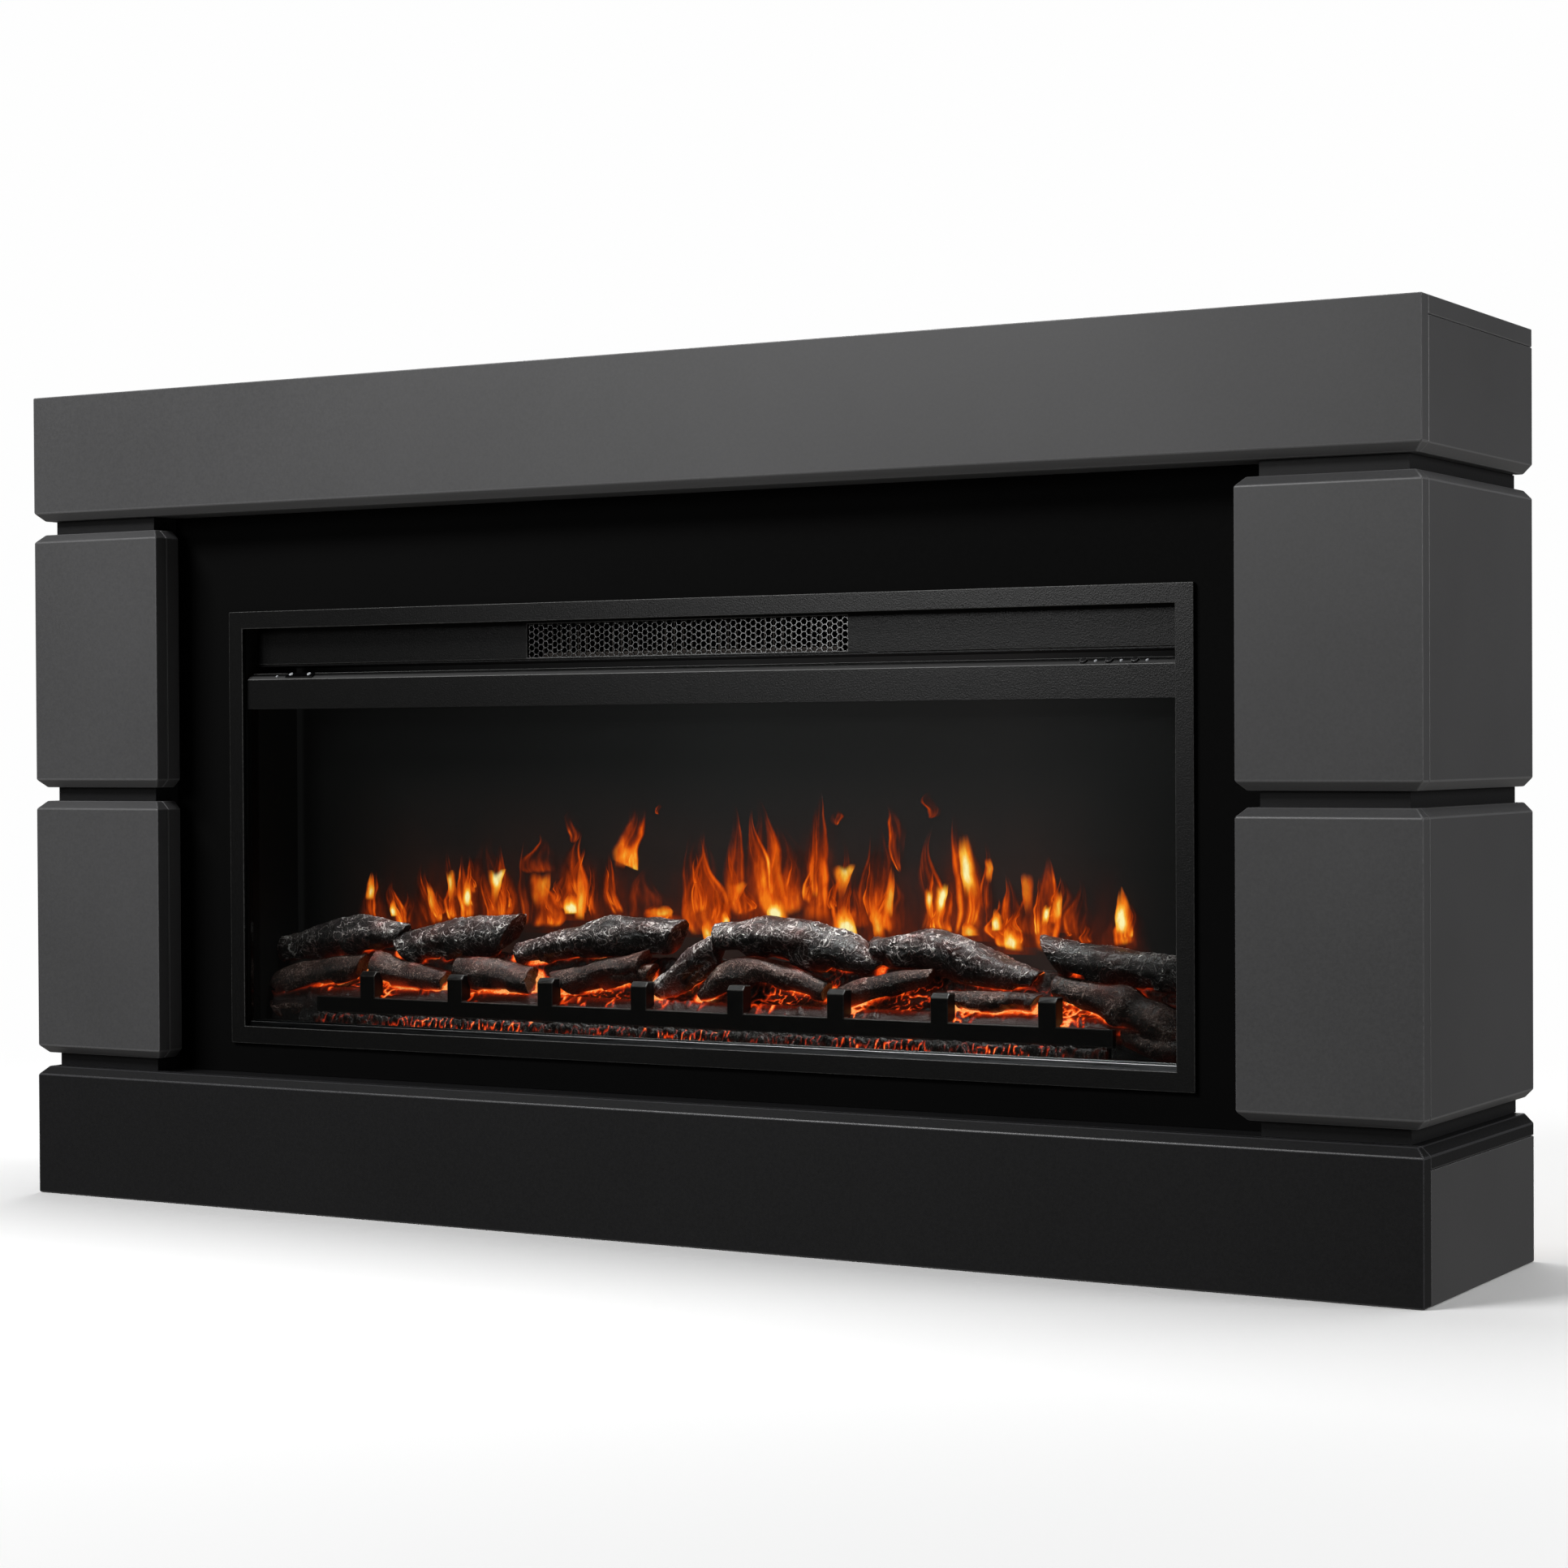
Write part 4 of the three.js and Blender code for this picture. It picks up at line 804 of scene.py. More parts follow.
# Each log: the end of the bed it is set out from (-1 left, 1 right), how far it lies behind the
# hood's face, and stations along its axis: distance from that end, height over the tray, radius.
REAR_LOGS = [
    (-1, 60, [(-24, 71, 10.5), (43, 81, 15.5), (90, 89, 17.4), (143, 89, 9.5)]),
    (-1, 60, [(146, 76, 13.5), (192, 83, 18.5), (242, 91, 17.8), (279, 97, 14.5)]),
    (-1, 60, [(288, 72, 10.5), (344, 85, 14.5), (401, 95, 17.7), (470, 97, 15)]),
    (-1, 50, [(457, 42, 8.6), (490, 64, 14), (521, 85, 13.9)]),
    (1, 60, [(491, 95, 13.1), (439, 98, 18.4), (360, 87, 18.2), (319, 73, 8.3)]),
    (1, 60, [(322, 88, 12.8), (262, 90, 17.1), (204, 74, 16.2), (158, 66, 7.3)]),
    (1, 60, [(140, 89, 14.6), (84, 82, 16.6), (48, 77, 15.1), (8, 73, 14.3)]),
]
FRONT_LOGS = [
    (-1, 47, [(103, 58, 9.5), (40, 45, 13.4), (3, 32, 15), (9, 22, 10)]),
    (-1, 47, [(123, 55, 13.5), (160, 48, 12), (205, 43, 8.5)]),
    (-1, 48, [(222, 58, 12), (260, 51, 15), (311, 48, 12)]),
    (-1, 47, [(349, 47, 11.5), (394, 57, 13), (440, 68, 11)]),
    (-1, 50, [(396, 53, 8.6), (448, 59, 8.6)]),
    (1, 47, [(502, 40, 7.7), (479, 58, 10), (446, 66, 12), (406, 59, 11.4), (367, 49, 8.3)]),
    (1, 46, [(349, 42, 9), (302, 57, 10.4), (256, 66, 7.4)]),
    (1, 46, [(232, 45, 8.1), (189, 45, 9.5), (152, 45, 7.3)]),
    (1, 47, [(131, 58, 10), (88, 51, 12.5), (66, 45, 17.5), (50, 38, 15), (22, 26, 17), (6, 18, 14)]),
    (1, 38, [(58, 16, 9), (30, 13, 12), (4, 9, 11)]),
    (-1, 38, [(46, 12, 8), (20, 11, 9.5), (3, 9, 9.5)]),
]
BED_Y0 = hood_low.y + 29 * MM
PROFILE_Y = np.array([-0.6, 0, 2.5, 9, 16, 22, 30, 34, 50]) * MM + BED_Y0
PROFILE_Z = np.array([0.6, 21, 26, 34, 37, 40, 62, 72, 73]) * MM + tray_z


def bed_height(y):
    """Height of the bed's mean surface at a depth y."""
    return np.interp(y, PROFILE_Y, PROFILE_Z)


def log_line(end, offset, stations, step=1.3 * MM):
    """Points and radii along a log's axis, on a smooth curve through its stations."""
    keys = np.array([[end * (bed_x - d * MM), hood_low.y + offset * MM, tray_z + z * MM, r * MM]
                     for d, z, r in stations])
    keys = np.vstack([2 * keys[0] - keys[1], keys, 2 * keys[-1] - keys[-2]])
    keys[0, 3], keys[-1, 3] = keys[1, 3], keys[-2, 3]
    line = []
    for a, b, c, d in zip(keys, keys[1:], keys[2:], keys[3:]):
        count = max(3, int(np.linalg.norm(c[:3] - b[:3]) / step))
        for t in np.arange(count) / count:
            line.append(0.5 * (2 * b + (c - a) * t + (2 * a - 5 * b + 4 * c - d) * t * t
                               + (3 * b - 3 * c + d - a) * t ** 3))
    line.append(keys[-2])
    return np.array(line)


all_lines = [log_line(*log) for log in REAR_LOGS + FRONT_LOGS]
LAMPS_END = (0.43, 0.47)  # m from the middle: the light in the bed dies away between these


def gap_to_logs(points):
    """Distance from each point to the skin of the nearest log."""
    nearest = np.full(len(points), 1.0)
    for line in all_lines:
        for *centre, radius in line[::6]:
            nearest = np.minimum(nearest, np.linalg.norm(points - centre, axis=1) - radius)
    return nearest


# %% Bed of embers
BED_STEP = 1.25 * MM
bed_columns = int(2 * bed_x / BED_STEP)
bed_run = np.concatenate([[0], np.cumsum(np.hypot(np.diff(PROFILE_Y), np.diff(PROFILE_Z)))])
bed_s = np.arange(0, bed_run[-1], BED_STEP)
bed_ys, bed_zs = np.interp(bed_s, bed_run, PROFILE_Y), np.interp(bed_s, bed_run, PROFILE_Z)
xs = np.linspace(-bed_x, bed_x, bed_columns)
bed_points = np.array([[x, y, z] for y, z in zip(bed_ys, bed_zs) for x in xs])
depth = bed_points[:, 1] - BED_Y0
apron = 1 - smooth_step(8 * MM, 14 * MM, depth)  # smooth slope just behind the bar
nuggets = smooth_step(0.15, 0.6, noise_at(bed_points * [1, 0.3, 0.3], 9 * MM, 14))
nuggets *= smooth_step(0, 4 * MM, depth)
lumps = noise_at(bed_points, 9 * MM, 3) * 0.6 + noise_at(bed_points, 4.5 * MM, 4) * 0.4
crack = 1 - np.abs(noise_at(bed_points, 8 * MM, 5)) * 3.2
height = lumps * 2.2 * MM * (1 - apron * 0.85) - np.clip(crack, 0, 1) * 1.2 * MM * (1 - apron)
height += nuggets * apron * 2.6 * MM
wall = smooth_step(0.5 * MM, -0.3 * MM, depth)
bed_points[:, 2] += height * (1 - wall)
bed_points[:, 1] -= height * 0.5 * (1 - wall)
gap = gap_to_logs(bed_points)
contact = np.exp(-(np.clip(gap, 0, None) / (3.0 * MM)) ** 2)
patches = smooth_step(-0.35, 0.35, noise_at(bed_points, 38 * MM, 8))
veins = smooth_step(0.55, 1.0, crack) * (1 - apron)
upper_step = smooth_step(24 * MM, 30 * MM, depth)
seen_between = smooth_step(-0.2, 0.25, noise_at(bed_points * [1, 0, 0], 26 * MM, 19))
bed_glow = contact * (0.80 + 0.45 * patches) * (1 - upper_step * (0.9 - 0.75 * seen_between))
bed_glow += veins * (0.2 + 0.7 * patches) * (1 - 0.7 * upper_step)
bed_glow += 0.16 * (1 - apron) * patches * (1 - upper_step)
bed_glow += 0.27 * apron * smooth_step(-1 * MM, 12 * MM, depth)
# a bright spot lies to the right of each lug of the bar: the lugs are where the bar reaches highest
grate_points = np.array([v.co for v in nodes["grate"].data.vertices])
top_x = np.sort(grate_points[grate_points[:, 2] > grate_points[:, 2].max() - 2 * MM, 0])
lug_x = np.array([run.mean() for run in np.split(top_x, np.where(np.diff(top_x) > 30 * MM)[0] + 1)])
from_lug = np.min(np.abs(bed_points[:, :1] - lug_x[None, :] - 13 * MM), axis=1)
beside = np.exp(-(from_lug / (8 * MM)) ** 2) * smooth_step(0, 3 * MM, depth)
beside *= 1 - smooth_step(20 * MM, 27 * MM, depth)
bed_glow += 1.15 * beside * smooth_step(-0.15, 0.8, crack) * (0.45 + 0.55 * patches)
nugget_rim = np.exp(-((nuggets - 0.35) / 0.2) ** 2) * apron
nugget_rim *= smooth_step(-0.2, 0.3, noise_at(bed_points, 30 * MM, 15))
bed_glow += 0.75 * nugget_rim * smooth_step(1 * MM, 3 * MM, depth)
bed_glow *= (1 - wall) * (1 - 0.8 * smooth_step(*LAMPS_END, np.abs(bed_points[:, 0])))
# the tint makes the bed redder in the patches that glow more: painted red light
bed = mesh_piece("ember_bed", bed_points, grid_faces(len(bed_s), bed_columns, False),
                 {"relief": 0.34 + lumps * 0.35 * (1 - apron), "glow": np.clip(bed_glow, 0, 1),
                  "tint": 0.45 * patches * (1 - upper_step)}, ember_resin)
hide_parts("log_set")
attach(bed, "fireplace")
print("bed", len(bed_points), "points")


# %% Logs
LOG_SIDES = 84
SPLITS = 6  # split faces on each log
CAP = [(0.94, -0.6), (0.78, -0.2), (0.5, 0.8), (0.22, 1.2), (0.02, 1.4)]  # an end: scale, hollow in mm


def log_piece(name, line, seed, ridge, ridge_cell, material, glow_share, silver=0.0):
    """A log: a tube along its line, with bark ridges, split faces and cut ends."""
    rng = np.random.default_rng(seed)
    rings, sides = len(line), LOG_SIDES
    along = np.gradient(line[:, :3], axis=0)
    along /= np.linalg.norm(along, axis=1, keepdims=True)
    upward = np.array([0, 0, 1.0]) - along * along[:, 2:3]
    upward /= np.linalg.norm(upward, axis=1, keepdims=True)
    outward = np.cross(along, upward)
    theta = np.linspace(0, 2 * math.pi, sides, endpoint=False)
    way = (outward[:, None, :] * np.cos(theta)[None, :, None]
           + upward[:, None, :] * np.sin(theta)[None, :, None])
    radius = np.repeat(line[:, 3:4], sides, axis=1)
    run = np.concatenate([[0], np.cumsum(np.linalg.norm(np.diff(line[:, :3], axis=0), axis=1))])
    # the noise is read in the log's own space: along it, and round it
    local = np.stack([np.repeat(run[:, None], sides, axis=1),
                      np.cos(theta)[None, :] * radius, np.sin(theta)[None, :] * radius], axis=2)
    flat = local.reshape(-1, 3) + seed * 0.37
    swell = noise_at(flat * [0.7, 1, 1], 26 * MM, 1).reshape(rings, sides)
    bend = np.stack([noise_at(flat, 11 * MM, k) for k in (2, 3, 4)], axis=1) * 4.0 * MM
    bent = flat + bend
    worm = np.clip(1 - np.abs(noise_at(bent * [0.42, 1, 1], ridge_cell, 5)) * 3.4, 0, 1)
    worm2 = np.clip(1 - np.abs(noise_at(bent * [0.5, 1.1, 1.1], ridge_cell * 0.5, 6)) * 2.8, 0, 1)
    rough = noise_at(flat * [0.5, 1, 1], 2.4 * MM, 16)
    brushed = smooth_step(-0.35, 0.35, noise_at(flat * [0.6, 1, 1], 18 * MM, 17))
    pits = smooth_step(0.1, 0.6, noise_at(flat, 6 * MM, 18))
    relief = (0.20 + (0.22 * worm + 0.16 * worm2) * (0.25 + 0.9 * brushed) + 0.10 * rough
              + 0.11 * brushed - 0.14 * pits)
    relief = relief.reshape(rings, sides)
    # split faces: flats cut into the round near places along the log
    chip = np.zeros((rings, sides))
    chip_edge = np.full((rings, sides), 2.0)
    for _ in range(SPLITS):
        centre, reach = rng.uniform(0, run[-1]), rng.uniform(8, 24) * MM
        facing, keep = rng.uniform(0.2, 2.9) + math.pi, rng.uniform(0.68, 0.84)
        share = 1 - smooth_step(reach * 0.7, reach, np.abs(run - centre))[:, None]
        across = np.cos(theta - facing)
        limit = np.where(across > 0.2, keep / np.maximum(across, 0.2), 9.0)
        cut = np.minimum(1.0, limit)[None, :]
        chip = np.maximum(chip, share * (cut < 0.999))
        mark = np.abs(cut - 0.985) / 0.02 + (share < 0.5) * 2 + (across[None, :] < 0.2) * 2
        chip_edge = np.minimum(chip_edge, mark)
        radius = radius * (1 - share * (1 - cut))
    radius = radius + swell * 3.3 * MM + (relief - 0.45) * ridge * (1 - 0.75 * chip)
    points = line[:, None, :3] + way * radius[..., None]
    # each end is sawn or snapped off at a slant
    for from_end, slope in ((run, rng.uniform(-0.9, 0.1)), (run[-1] - run, rng.uniform(-0.1, 0.9))):
        share = (1 - smooth_step(0, 16 * MM, from_end)) * slope
        points += along[:, None, :] * (share[:, None] * np.sin(theta)[None, :] * radius)[..., None]
    # round the rim and close both ends with a rough, slightly hollow face
    start_cap, end_cap = [], []
    for scale, sink in CAP:
        for ring, store, sign in ((0, start_cap, 1), (-1, end_cap, -1)):
            ring_points = line[ring, :3] + (points[ring] - line[ring, :3]) * scale
            rough = noise_at(ring_points, 5 * MM, 9)[:, None] * 1.5 * MM
            store.append(ring_points + along[ring] * sign * (sink * MM + rough))
    grid = np.vstack([np.array(start_cap[::-1]).reshape(-1, 3), points.reshape(-1, 3),
                      np.array(end_cap).reshape(-1, 3)])
    cap = np.full(len(CAP) * sides, 0.28)
    rim = np.clip(1 - np.abs(chip_edge) * 2.0, 0, 1)
    bark = relief * (1 - chip) + (0.30 + 0.4 * relief) * chip + 0.3 * rim
    shade = np.concatenate([cap, bark.ravel(), cap])
    grid[:, 0] = np.clip(grid[:, 0], -log_limit, log_limit)
    grid[:, 1] = np.clip(grid[:, 1], None, screen_low.y - 0.5 * MM)
    over_bed = grid[:, 2] - bed_height(grid[:, 1])
    inside = smooth_step(-3 * MM, 6 * MM, grid[:, 1] - BED_Y0)  # nothing shines in front of the bed
    near = np.exp(-(np.maximum(over_bed, -0.6 * over_bed) / (3.2 * MM)) ** 2) * inside
    wide = np.exp(-(np.clip(over_bed, 0, None) / (13 * MM)) ** 2) * inside
    breakup = smooth_step(-0.4, 0.5, noise_at(grid, 20 * MM, 12))
    middle_z = np.repeat(np.pad(line[:, 2], len(CAP), mode="edge"), sides)
    upper_side = smooth_step(2 * MM, 11 * MM, grid[:, 2] - middle_z)
    lit_by_flames = flame_feet_near(grid[:, 0]) * upper_side * (0.25 + 0.75 * shade)
    glow = near * (0.35 + 0.6 * breakup) + 0.10 * wide * breakup + 0.42 * lit_by_flames
    # the underside is painted: darker as painted shade, and in patches redder with a faint glow near the
    # bed, painted red light of the embers
    under = 1 - smooth_step(-4 * MM, 7 * MM, grid[:, 2] - middle_z)
    reddened = smooth_step(-0.15, 0.35, noise_at(grid, 30 * MM, 20))
    # tint is painted red light: near the bed, where flames stand behind, and on the underside
    tint = 0.85 * wide * breakup + 0.55 * lit_by_flames + 0.8 * under * reddened
    low_light = np.exp(-(np.clip(over_bed, 0, None) / (22 * MM)) ** 2)
    glow = glow * glow_share + 0.24 * under * reddened * low_light
    glow = glow * (1 - 0.85 * smooth_step(*LAMPS_END, np.abs(grid[:, 0])))
    # painted shade darkens the underside
    shade = shade + silver - 0.16 * under
    faces = grid_faces(len(grid) // sides, sides, True)
    faces += [tuple(range(sides))[::-1], tuple(range(len(grid) - sides, len(grid)))]
    made = mesh_piece(name, grid, faces, {
        "relief": shade, "glow": np.clip(glow, 0, 1), "tint": np.clip(tint, 0, 1)}, material)
    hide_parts("log_set")
    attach(made, "fireplace")


# the rear logs are a little thicker and lower than their stations say, the front ones thicker; the
# fourth rear log, in the middle, was brushed with more silver
for number, log in enumerate(REAR_LOGS, 1):
    line = log_line(*log) * [1, 1, 1, 1.13] - [0, 0, 1.8 * MM, 0]
    log_piece(f"rear_log_{number}", line, number, 3.4 * MM, 7.0 * MM, silver_char, 0.8,
              silver=0.13 if number == 4 else 0.0)
for number, log in enumerate(FRONT_LOGS, 1):
    line = log_line(*log) * [1, 1, 1, 1.2]
    log_piece(f"front_log_{number}", line, number + 20, 1.9 * MM, 4.6 * MM, brown_char, 1.0)
print("logs", len(REAR_LOGS) + len(FRONT_LOGS))

# %% [markdown]
# ### The ember strip in front of the grate
# A narrow moulding of crushed coal lies in the tray in front of the bar. It is a half-round ridge,
# broken up by sharp lumps, that glows in clusters.

# %% Ember strip
strip_low, strip_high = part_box("ember_strip")
STRIP_STEP = 1.1 * MM
strip_columns = int((strip_high.x - strip_low.x) / STRIP_STEP)
sx = np.linspace(strip_low.x, strip_high.x, strip_columns)
arc = np.linspace(0, math.pi, 16)
half_y, height_z = (strip_high.y - strip_low.y) / 2, strip_high.z - strip_low.z
mid_y = (strip_low.y + strip_high.y) / 2
strip_points = np.array([
    [x, mid_y - half_y * math.cos(a), strip_low.z + height_z * 0.8 * math.sin(a) ** 0.6]
    for a in arc for x in sx])
lump = noise_at(strip_points, 6 * MM, 21) * 0.6 + noise_at(strip_points, 3.2 * MM, 22) * 0.4
split_lines = np.clip(1 - np.abs(noise_at(strip_points * [1, 0.7, 0.7], 6.5 * MM, 23)) * 4.5, 0, 1)
rise = (lump * 3.0 - split_lines * 1.3) * MM
strip_points[:, 2] = np.clip(strip_points[:, 2] + rise, strip_low.z, strip_high.z)
strip_points[:, 1] = np.clip(strip_points[:, 1] - rise * 0.6, strip_low.y, strip_high.y)
cluster = 0.35 + 0.65 * smooth_step(-0.35, 0.25, noise_at(strip_points * [1, 0, 0], 45 * MM, 24))
cluster *= 1 - smooth_step(0.40, 0.45, np.abs(strip_points[:, 0]))
dimmed = smooth_step(-0.6, 0.2, noise_at(strip_points, 14 * MM, 25))
strip_glow = 1.3 * split_lines ** 1.7 * cluster * dimmed
# the tint makes the strip redder where its glow clusters: painted red light
ember_strip = mesh_piece(
    "ember_strip_coals", strip_points, grid_faces(len(arc), strip_columns, False),
    {"relief": 0.26 + lump * 0.35, "glow": strip_glow, "tint": 0.5 * cluster}, ember_resin)
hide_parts("ember_strip")
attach(ember_strip, "fireplace")
print("ember strip", len(strip_points), "points")

# %% [markdown]
# ## Flames
# On the real object the flames are light thrown on the dark screen. Here each tongue is a thin
# curved sheet just in front of that screen, with its own heat and cover worked out point by
# point: bright along the side it leans to, hottest low down, fading to a torn tip. A tongue whose
# foot hangs high above the logs has come loose, and a wide loose one is a torn strip.
#
# More sheets go with them: a narrow hotter lick over each hot tongue, faint wide veils behind,
# one long haze under all of them, and the yellow hearts in front.

# %% Flame picture
# points along and across a sheet of each sort
TONGUE_GRID, VEIL_GRID, HAZE_GRID, HEART_GRID = (52, 23), (30, 23), (24, 200), (25, 17)
HANGING, LOOSE = 320, 335  # mm; a foot above these is free of the logs, or loose altogether
FLAME_FRONT = screen_low.y - 1.2 * MM
flame_random = np.random.default_rng(5)
sheets, temperatures, covers, flame_faces = [], [], [], []


def sheet_grid(shape, low=0):
    """How far up (from low to 1) and how far across (-1 to 1) each point of a sheet lies."""
    rows, columns = shape
    return np.meshgrid(np.linspace(low, 1, rows), np.linspace(-1, 1, columns), indexing="ij")


def put_sheet(points_x, points_z, layer, bulge, temperature, cover):
    """Stores one curved sheet of the flame picture, a layer in mm in front of the screen."""
    first = sum(len(sheet) for sheet in sheets)
    faces = grid_faces(*points_x.shape, False)
    flame_faces.extend(tuple(first + i for i in face) for face in faces)
    y = FLAME_FRONT / MM - layer - 0.5 * bulge
    sheets.append(np.stack([points_x, y + 0 * points_x, points_z], axis=2).reshape(-1, 3) * MM)
    temperatures.append(np.clip(temperature, 0, 1).ravel())
    covers.append(np.clip(cover, 0, 1).ravel())


def own_noise(u, v, number, scale_u, scale_v, seed):
    """Noise in a tongue's own space, different for each tongue."""
    places = np.stack([u * scale_u, v * scale_v, np.full_like(u, number * 3.71)], axis=-1)
    return noise_at(places.reshape(-1, 3), 1.0, seed).reshape(u.shape)


# every hot tongue also carries a narrow lick, hotter than itself, along one side
licks = []
for foot_x, foot_z, tip_x, tip_z, width, bow, sway, heat in TONGUES:
    if heat < 0.4 or foot_z > HANGING:
        continue
    side = flame_random.choice([-1, 1])
    tall, lift = flame_random.uniform(0.4, 0.75), flame_random.uniform(0.0, 0.25)
    aside = side * flame_random.uniform(0.2, 0.4) * width
    to_x, to_z = tip_x - foot_x, tip_z - foot_z
    licks.append((foot_x + aside + to_x * lift, foot_z + to_z * lift,
                  foot_x + 1.2 * aside + to_x * (lift + tall) * 0.9,
                  foot_z + to_z * min(lift + tall, 0.92), width * flame_random.uniform(0.28, 0.45),
                  bow - 3 * side, sway * 0.5, min(heat + 0.12, 0.8)))

for number, (foot_x, foot_z, tip_x, tip_z, width, bow, sway, heat) in enumerate(TONGUES + licks):
    v, u = sheet_grid(TONGUE_GRID)
    swing = sway + flame_random.choice([-1, 1]) * (0.10 * width + 1.2)
    to_x, to_z = tip_x - foot_x, tip_z - foot_z
    line_x = foot_x + to_x * v + bow * np.sin(math.pi * v) + swing * np.sin(2 * math.pi * v)
    loose = foot_z > LOOSE
    strip = loose and width > 20
    taper = (1 - v ** (1.8 if to_z < 2 * width else 2.6)) ** 0.8
    profile = (0.7 + 0.42 * np.sin(math.pi * np.clip(v * 1.1 + 0.1, 0, 1))) * taper
    if strip:
        profile = 0.86 - 0.2 * v
    elif loose:
        profile = np.sin(math.pi * np.clip(v, 0.01, 0.99) ** 0.9) ** 0.7 * 0.9
    uneven = 1 + 0.25 * own_noise(0 * u, v, number, 1, 3.0, 30)
    half = 0.66 * width * np.clip(profile * uneven, 0.02, 2)
    ragged = 1.4 * own_noise(np.sign(u), v, number, 2, 7.0, 31) * np.abs(u)
    x = line_x + half * 1.15 * u + ragged
    z = foot_z + 1.07 * to_z * v - 1.6 * to_x / to_z * half * u * (1 - v)
    lean = -1 if bow > 0 else 1 if bow < 0 else flame_random.choice([-1, 1])
    drift = (u + 0.35 * own_noise(0 * u, v, number, 1, 2.0, 32)
             + 0.15 * own_noise(u, v, number, 1.0, 1.6, 33))
    outline = (1 - smooth_step(0.86, 1.0, u * lean)) * (1 - smooth_step(0.25, 1.0, -u * lean))
    side = smooth_step(-0.6, 0.9, drift * lean)
    crisp = np.exp(-((u * lean - 0.74) / 0.13) ** 2) * (0.45 + 0.55 * smooth_step(
        -0.3, 0.4, own_noise(0 * u, v, number, 1, 3.0, 36)))
    heart = np.exp(-(drift / 0.5) ** 2) * np.exp(-((v - 0.12) / 0.22) ** 2)
    torn = own_noise(u, v, number, 2.0, 2.6, 34)
    filament = np.clip(1 - 3.6 * np.abs(own_noise(u, v, number, 2.4, 1.3, 35)), 0, 1)
    ends = (1 - smooth_step(0.55, 1.0, v)) * smooth_step(0.0, 0.04 if strip else 0.10, v)
    temperature = (0.19 + 0.26 * heat + 0.07 * side + 0.22 * crisp * (0.4 + heat) + 0.34 * heat * heart
                   + (0.22 * (1 - v) if strip else 0) - 0.22 * v + 0.16 * torn + 0.12 * filament)
    faint = np.interp(heat, [0.12, 0.2, 0.4, 0.65], [0.35, 0.45, 0.75, 0.95])
    cover = outline * ends * faint * (1.5 if strip else 1) * (
        0.30 + 0.25 * side + 0.75 * crisp + 0.45 * heart + 0.55 * torn + 0.22 * filament)
    layer = 0.16 * (number % 9) + (0 if number < len(TONGUES) else 1.4)
    put_sheet(x, z, layer, 1 - u * u, temperature, cover)

# faint wide veils behind the tongues: dark orange light that joins them up
for number, (foot_x, foot_z, tip_x, tip_z, width, bow, sway, heat) in enumerate(TONGUES):
    if heat < 0.3 or number % 2 or foot_z > HANGING:
        continue
    v, u = sheet_grid(VEIL_GRID)
    x = ((foot_x + tip_x) / 2 + (1.5 * width + 8) * u * (1 - 0.45 * v)
         + 3 * own_noise(u, v, number, 1, 2, 50))
    z = foot_z - 6 + (0.9 * (tip_z - foot_z) + 6) * v
    smoke = 0.5 + 0.7 * own_noise(u, v, number, 1.5, 2.5, 51)
    outline = smooth_step(1.0, 0.2, np.abs(u)) * smooth_step(1.0, 0.35, v)
    put_sheet(x, z, 0.02 * (number % 9), 0 * u, 0.14 + 0.20 * smoke - 0.1 * v,
              outline * (0.22 + 0.26 * smoke))

# one long sheet of dark red haze under all of them
v, u = sheet_grid(HAZE_GRID)
puffs = smooth_step(-0.35, 0.45, own_noise(9 * u, 1.5 * v, 7, 1, 1, 60))
put_sheet(10 + 420 * u, 276 + 85 * v, -0.2, 0 * u, 0.05 + 0.10 * puffs,
          (1 - v) ** 1.3 * (1 - smooth_step(0.9, 1, np.abs(u))) * (0.10 + 0.42 * puffs))

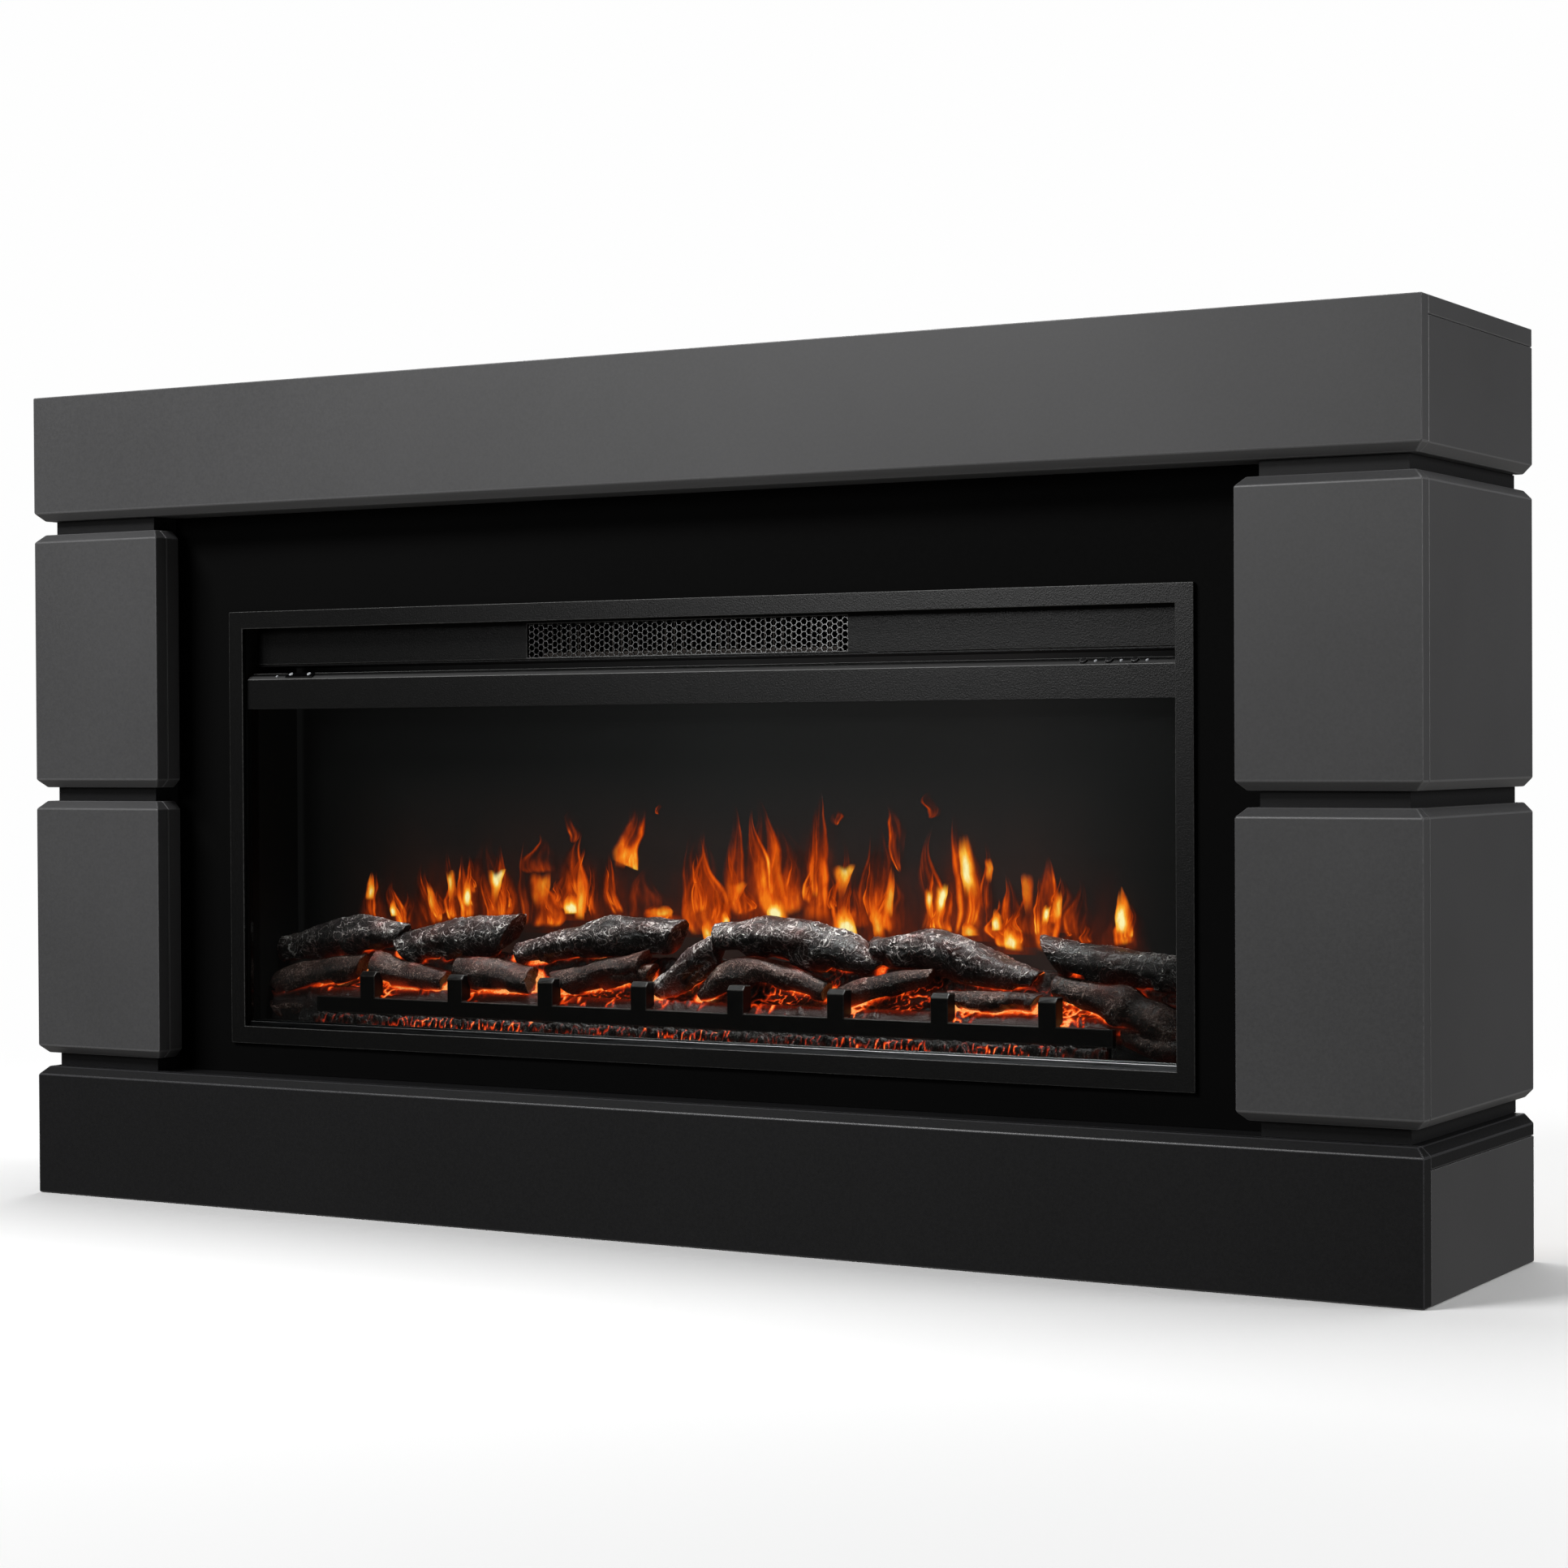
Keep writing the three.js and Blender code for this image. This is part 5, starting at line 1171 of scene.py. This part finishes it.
for number, (centre_x, centre_z, width, tall, lean, white, wedge) in enumerate(CORES):
    v, u = sheet_grid(HEART_GRID, -1)
    lift = (v + 1) / 2
    leaf = np.cos(0.5 * math.pi * np.clip(lift, 0, 0.99) ** 1.3) ** 0.8
    fan = 0.12 + 0.88 * lift ** 1.1
    shape = leaf * (1 - wedge) + fan * wedge
    x = (centre_x + lean * v * 1.4 + 0.80 * width * shape * u
         + 1.2 * own_noise(0 * u, v, number, 1, 1.6, 40))
    z = centre_z + 0.74 * tall * v + 0.05 * width * u * (1 if number % 2 else -1)
    crisp_side = 1 if lean >= 0 else -1
    fade = smooth_step(1.0, 0.86, u * crisp_side) * smooth_step(1.0, 0.35, -u * crisp_side)
    glow_at = np.exp(-((u - 0.25 * crisp_side) / 0.65) ** 2 - ((v + 0.45 - wedge) / 0.6) ** 2)
    temperature = (0.50 + 0.10 * white + (0.12 + 0.40 * white) * glow_at
                   + 0.06 * own_noise(u, v, number, 2, 2, 41))
    top_edge = 1 - smooth_step(0.2 + 0.4 * wedge, 1.0, v + 0.2 * own_noise(u, v, number, 1.5, 0.5, 42))
    foot_edge = smooth_step(-1.0, -0.80 + 1.1 * wedge, v)
    cover = fade * top_edge * foot_edge * (0.62 + 0.42 * white)
    put_sheet(x, z, 3.2 + 0.1 * (number % 3), 1 - u * u, temperature, cover)

flame_light, tree = new_material("flame_picture_light")
place = add(tree, "TexCoord").outputs["Object"]
warmth = add(tree, "Attribute", attribute_name="burn").outputs["Fac"]
body_cover = add(tree, "Attribute", attribute_name="cover").outputs["Fac"]
upward = add(tree, "Mapping", {"Vector": place, "Scale": (1.0, 1.0, 0.35)})
streak = add(tree, "TexNoise", {"Vector": upward, "Scale": 210.0, "Detail": 2.0, "Distortion": 0.4})
lick = add(tree, "MapRange", (streak, 0.3, 0.7, -0.05, 0.05))
temperature = add(tree, "Math", (warmth, lick), use_clamp=True)
fire = add(tree, "ValToRGB", (temperature,))
ramp_stops(fire, [(0.0, "#260A03"), (0.2, "#641E07"), (0.4, "#B23A09"), (0.55, "#E65A10"),
                  (0.7, "#FA851B"), (0.85, "#FFC244"), (1.0, "#FFF3B0")])
gap_share = add(tree, "MapRange", (streak, 0.3, 0.7, 0.88, 1.1))
cover = add(tree, "Math", (body_cover, gap_share), operation="MULTIPLY", use_clamp=True)
burning = add(tree, "BsdfPrincipled", {
    "Base Color": hue("#000000"), "Roughness": 1.0, "Specular IOR Level": 0.0,
    "Emission Color": fire, "Emission Strength": 1.2, "Alpha": cover})
close(tree, burning)

flames = mesh_piece("flame_picture", np.vstack(sheets), flame_faces, {
    "burn": np.concatenate(temperatures), "cover": np.concatenate(covers)}, flame_light)
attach(flames, "fireplace")
print("flames", len(TONGUES), "tongues,", len(licks), "licks and", len(CORES), "bright hearts")
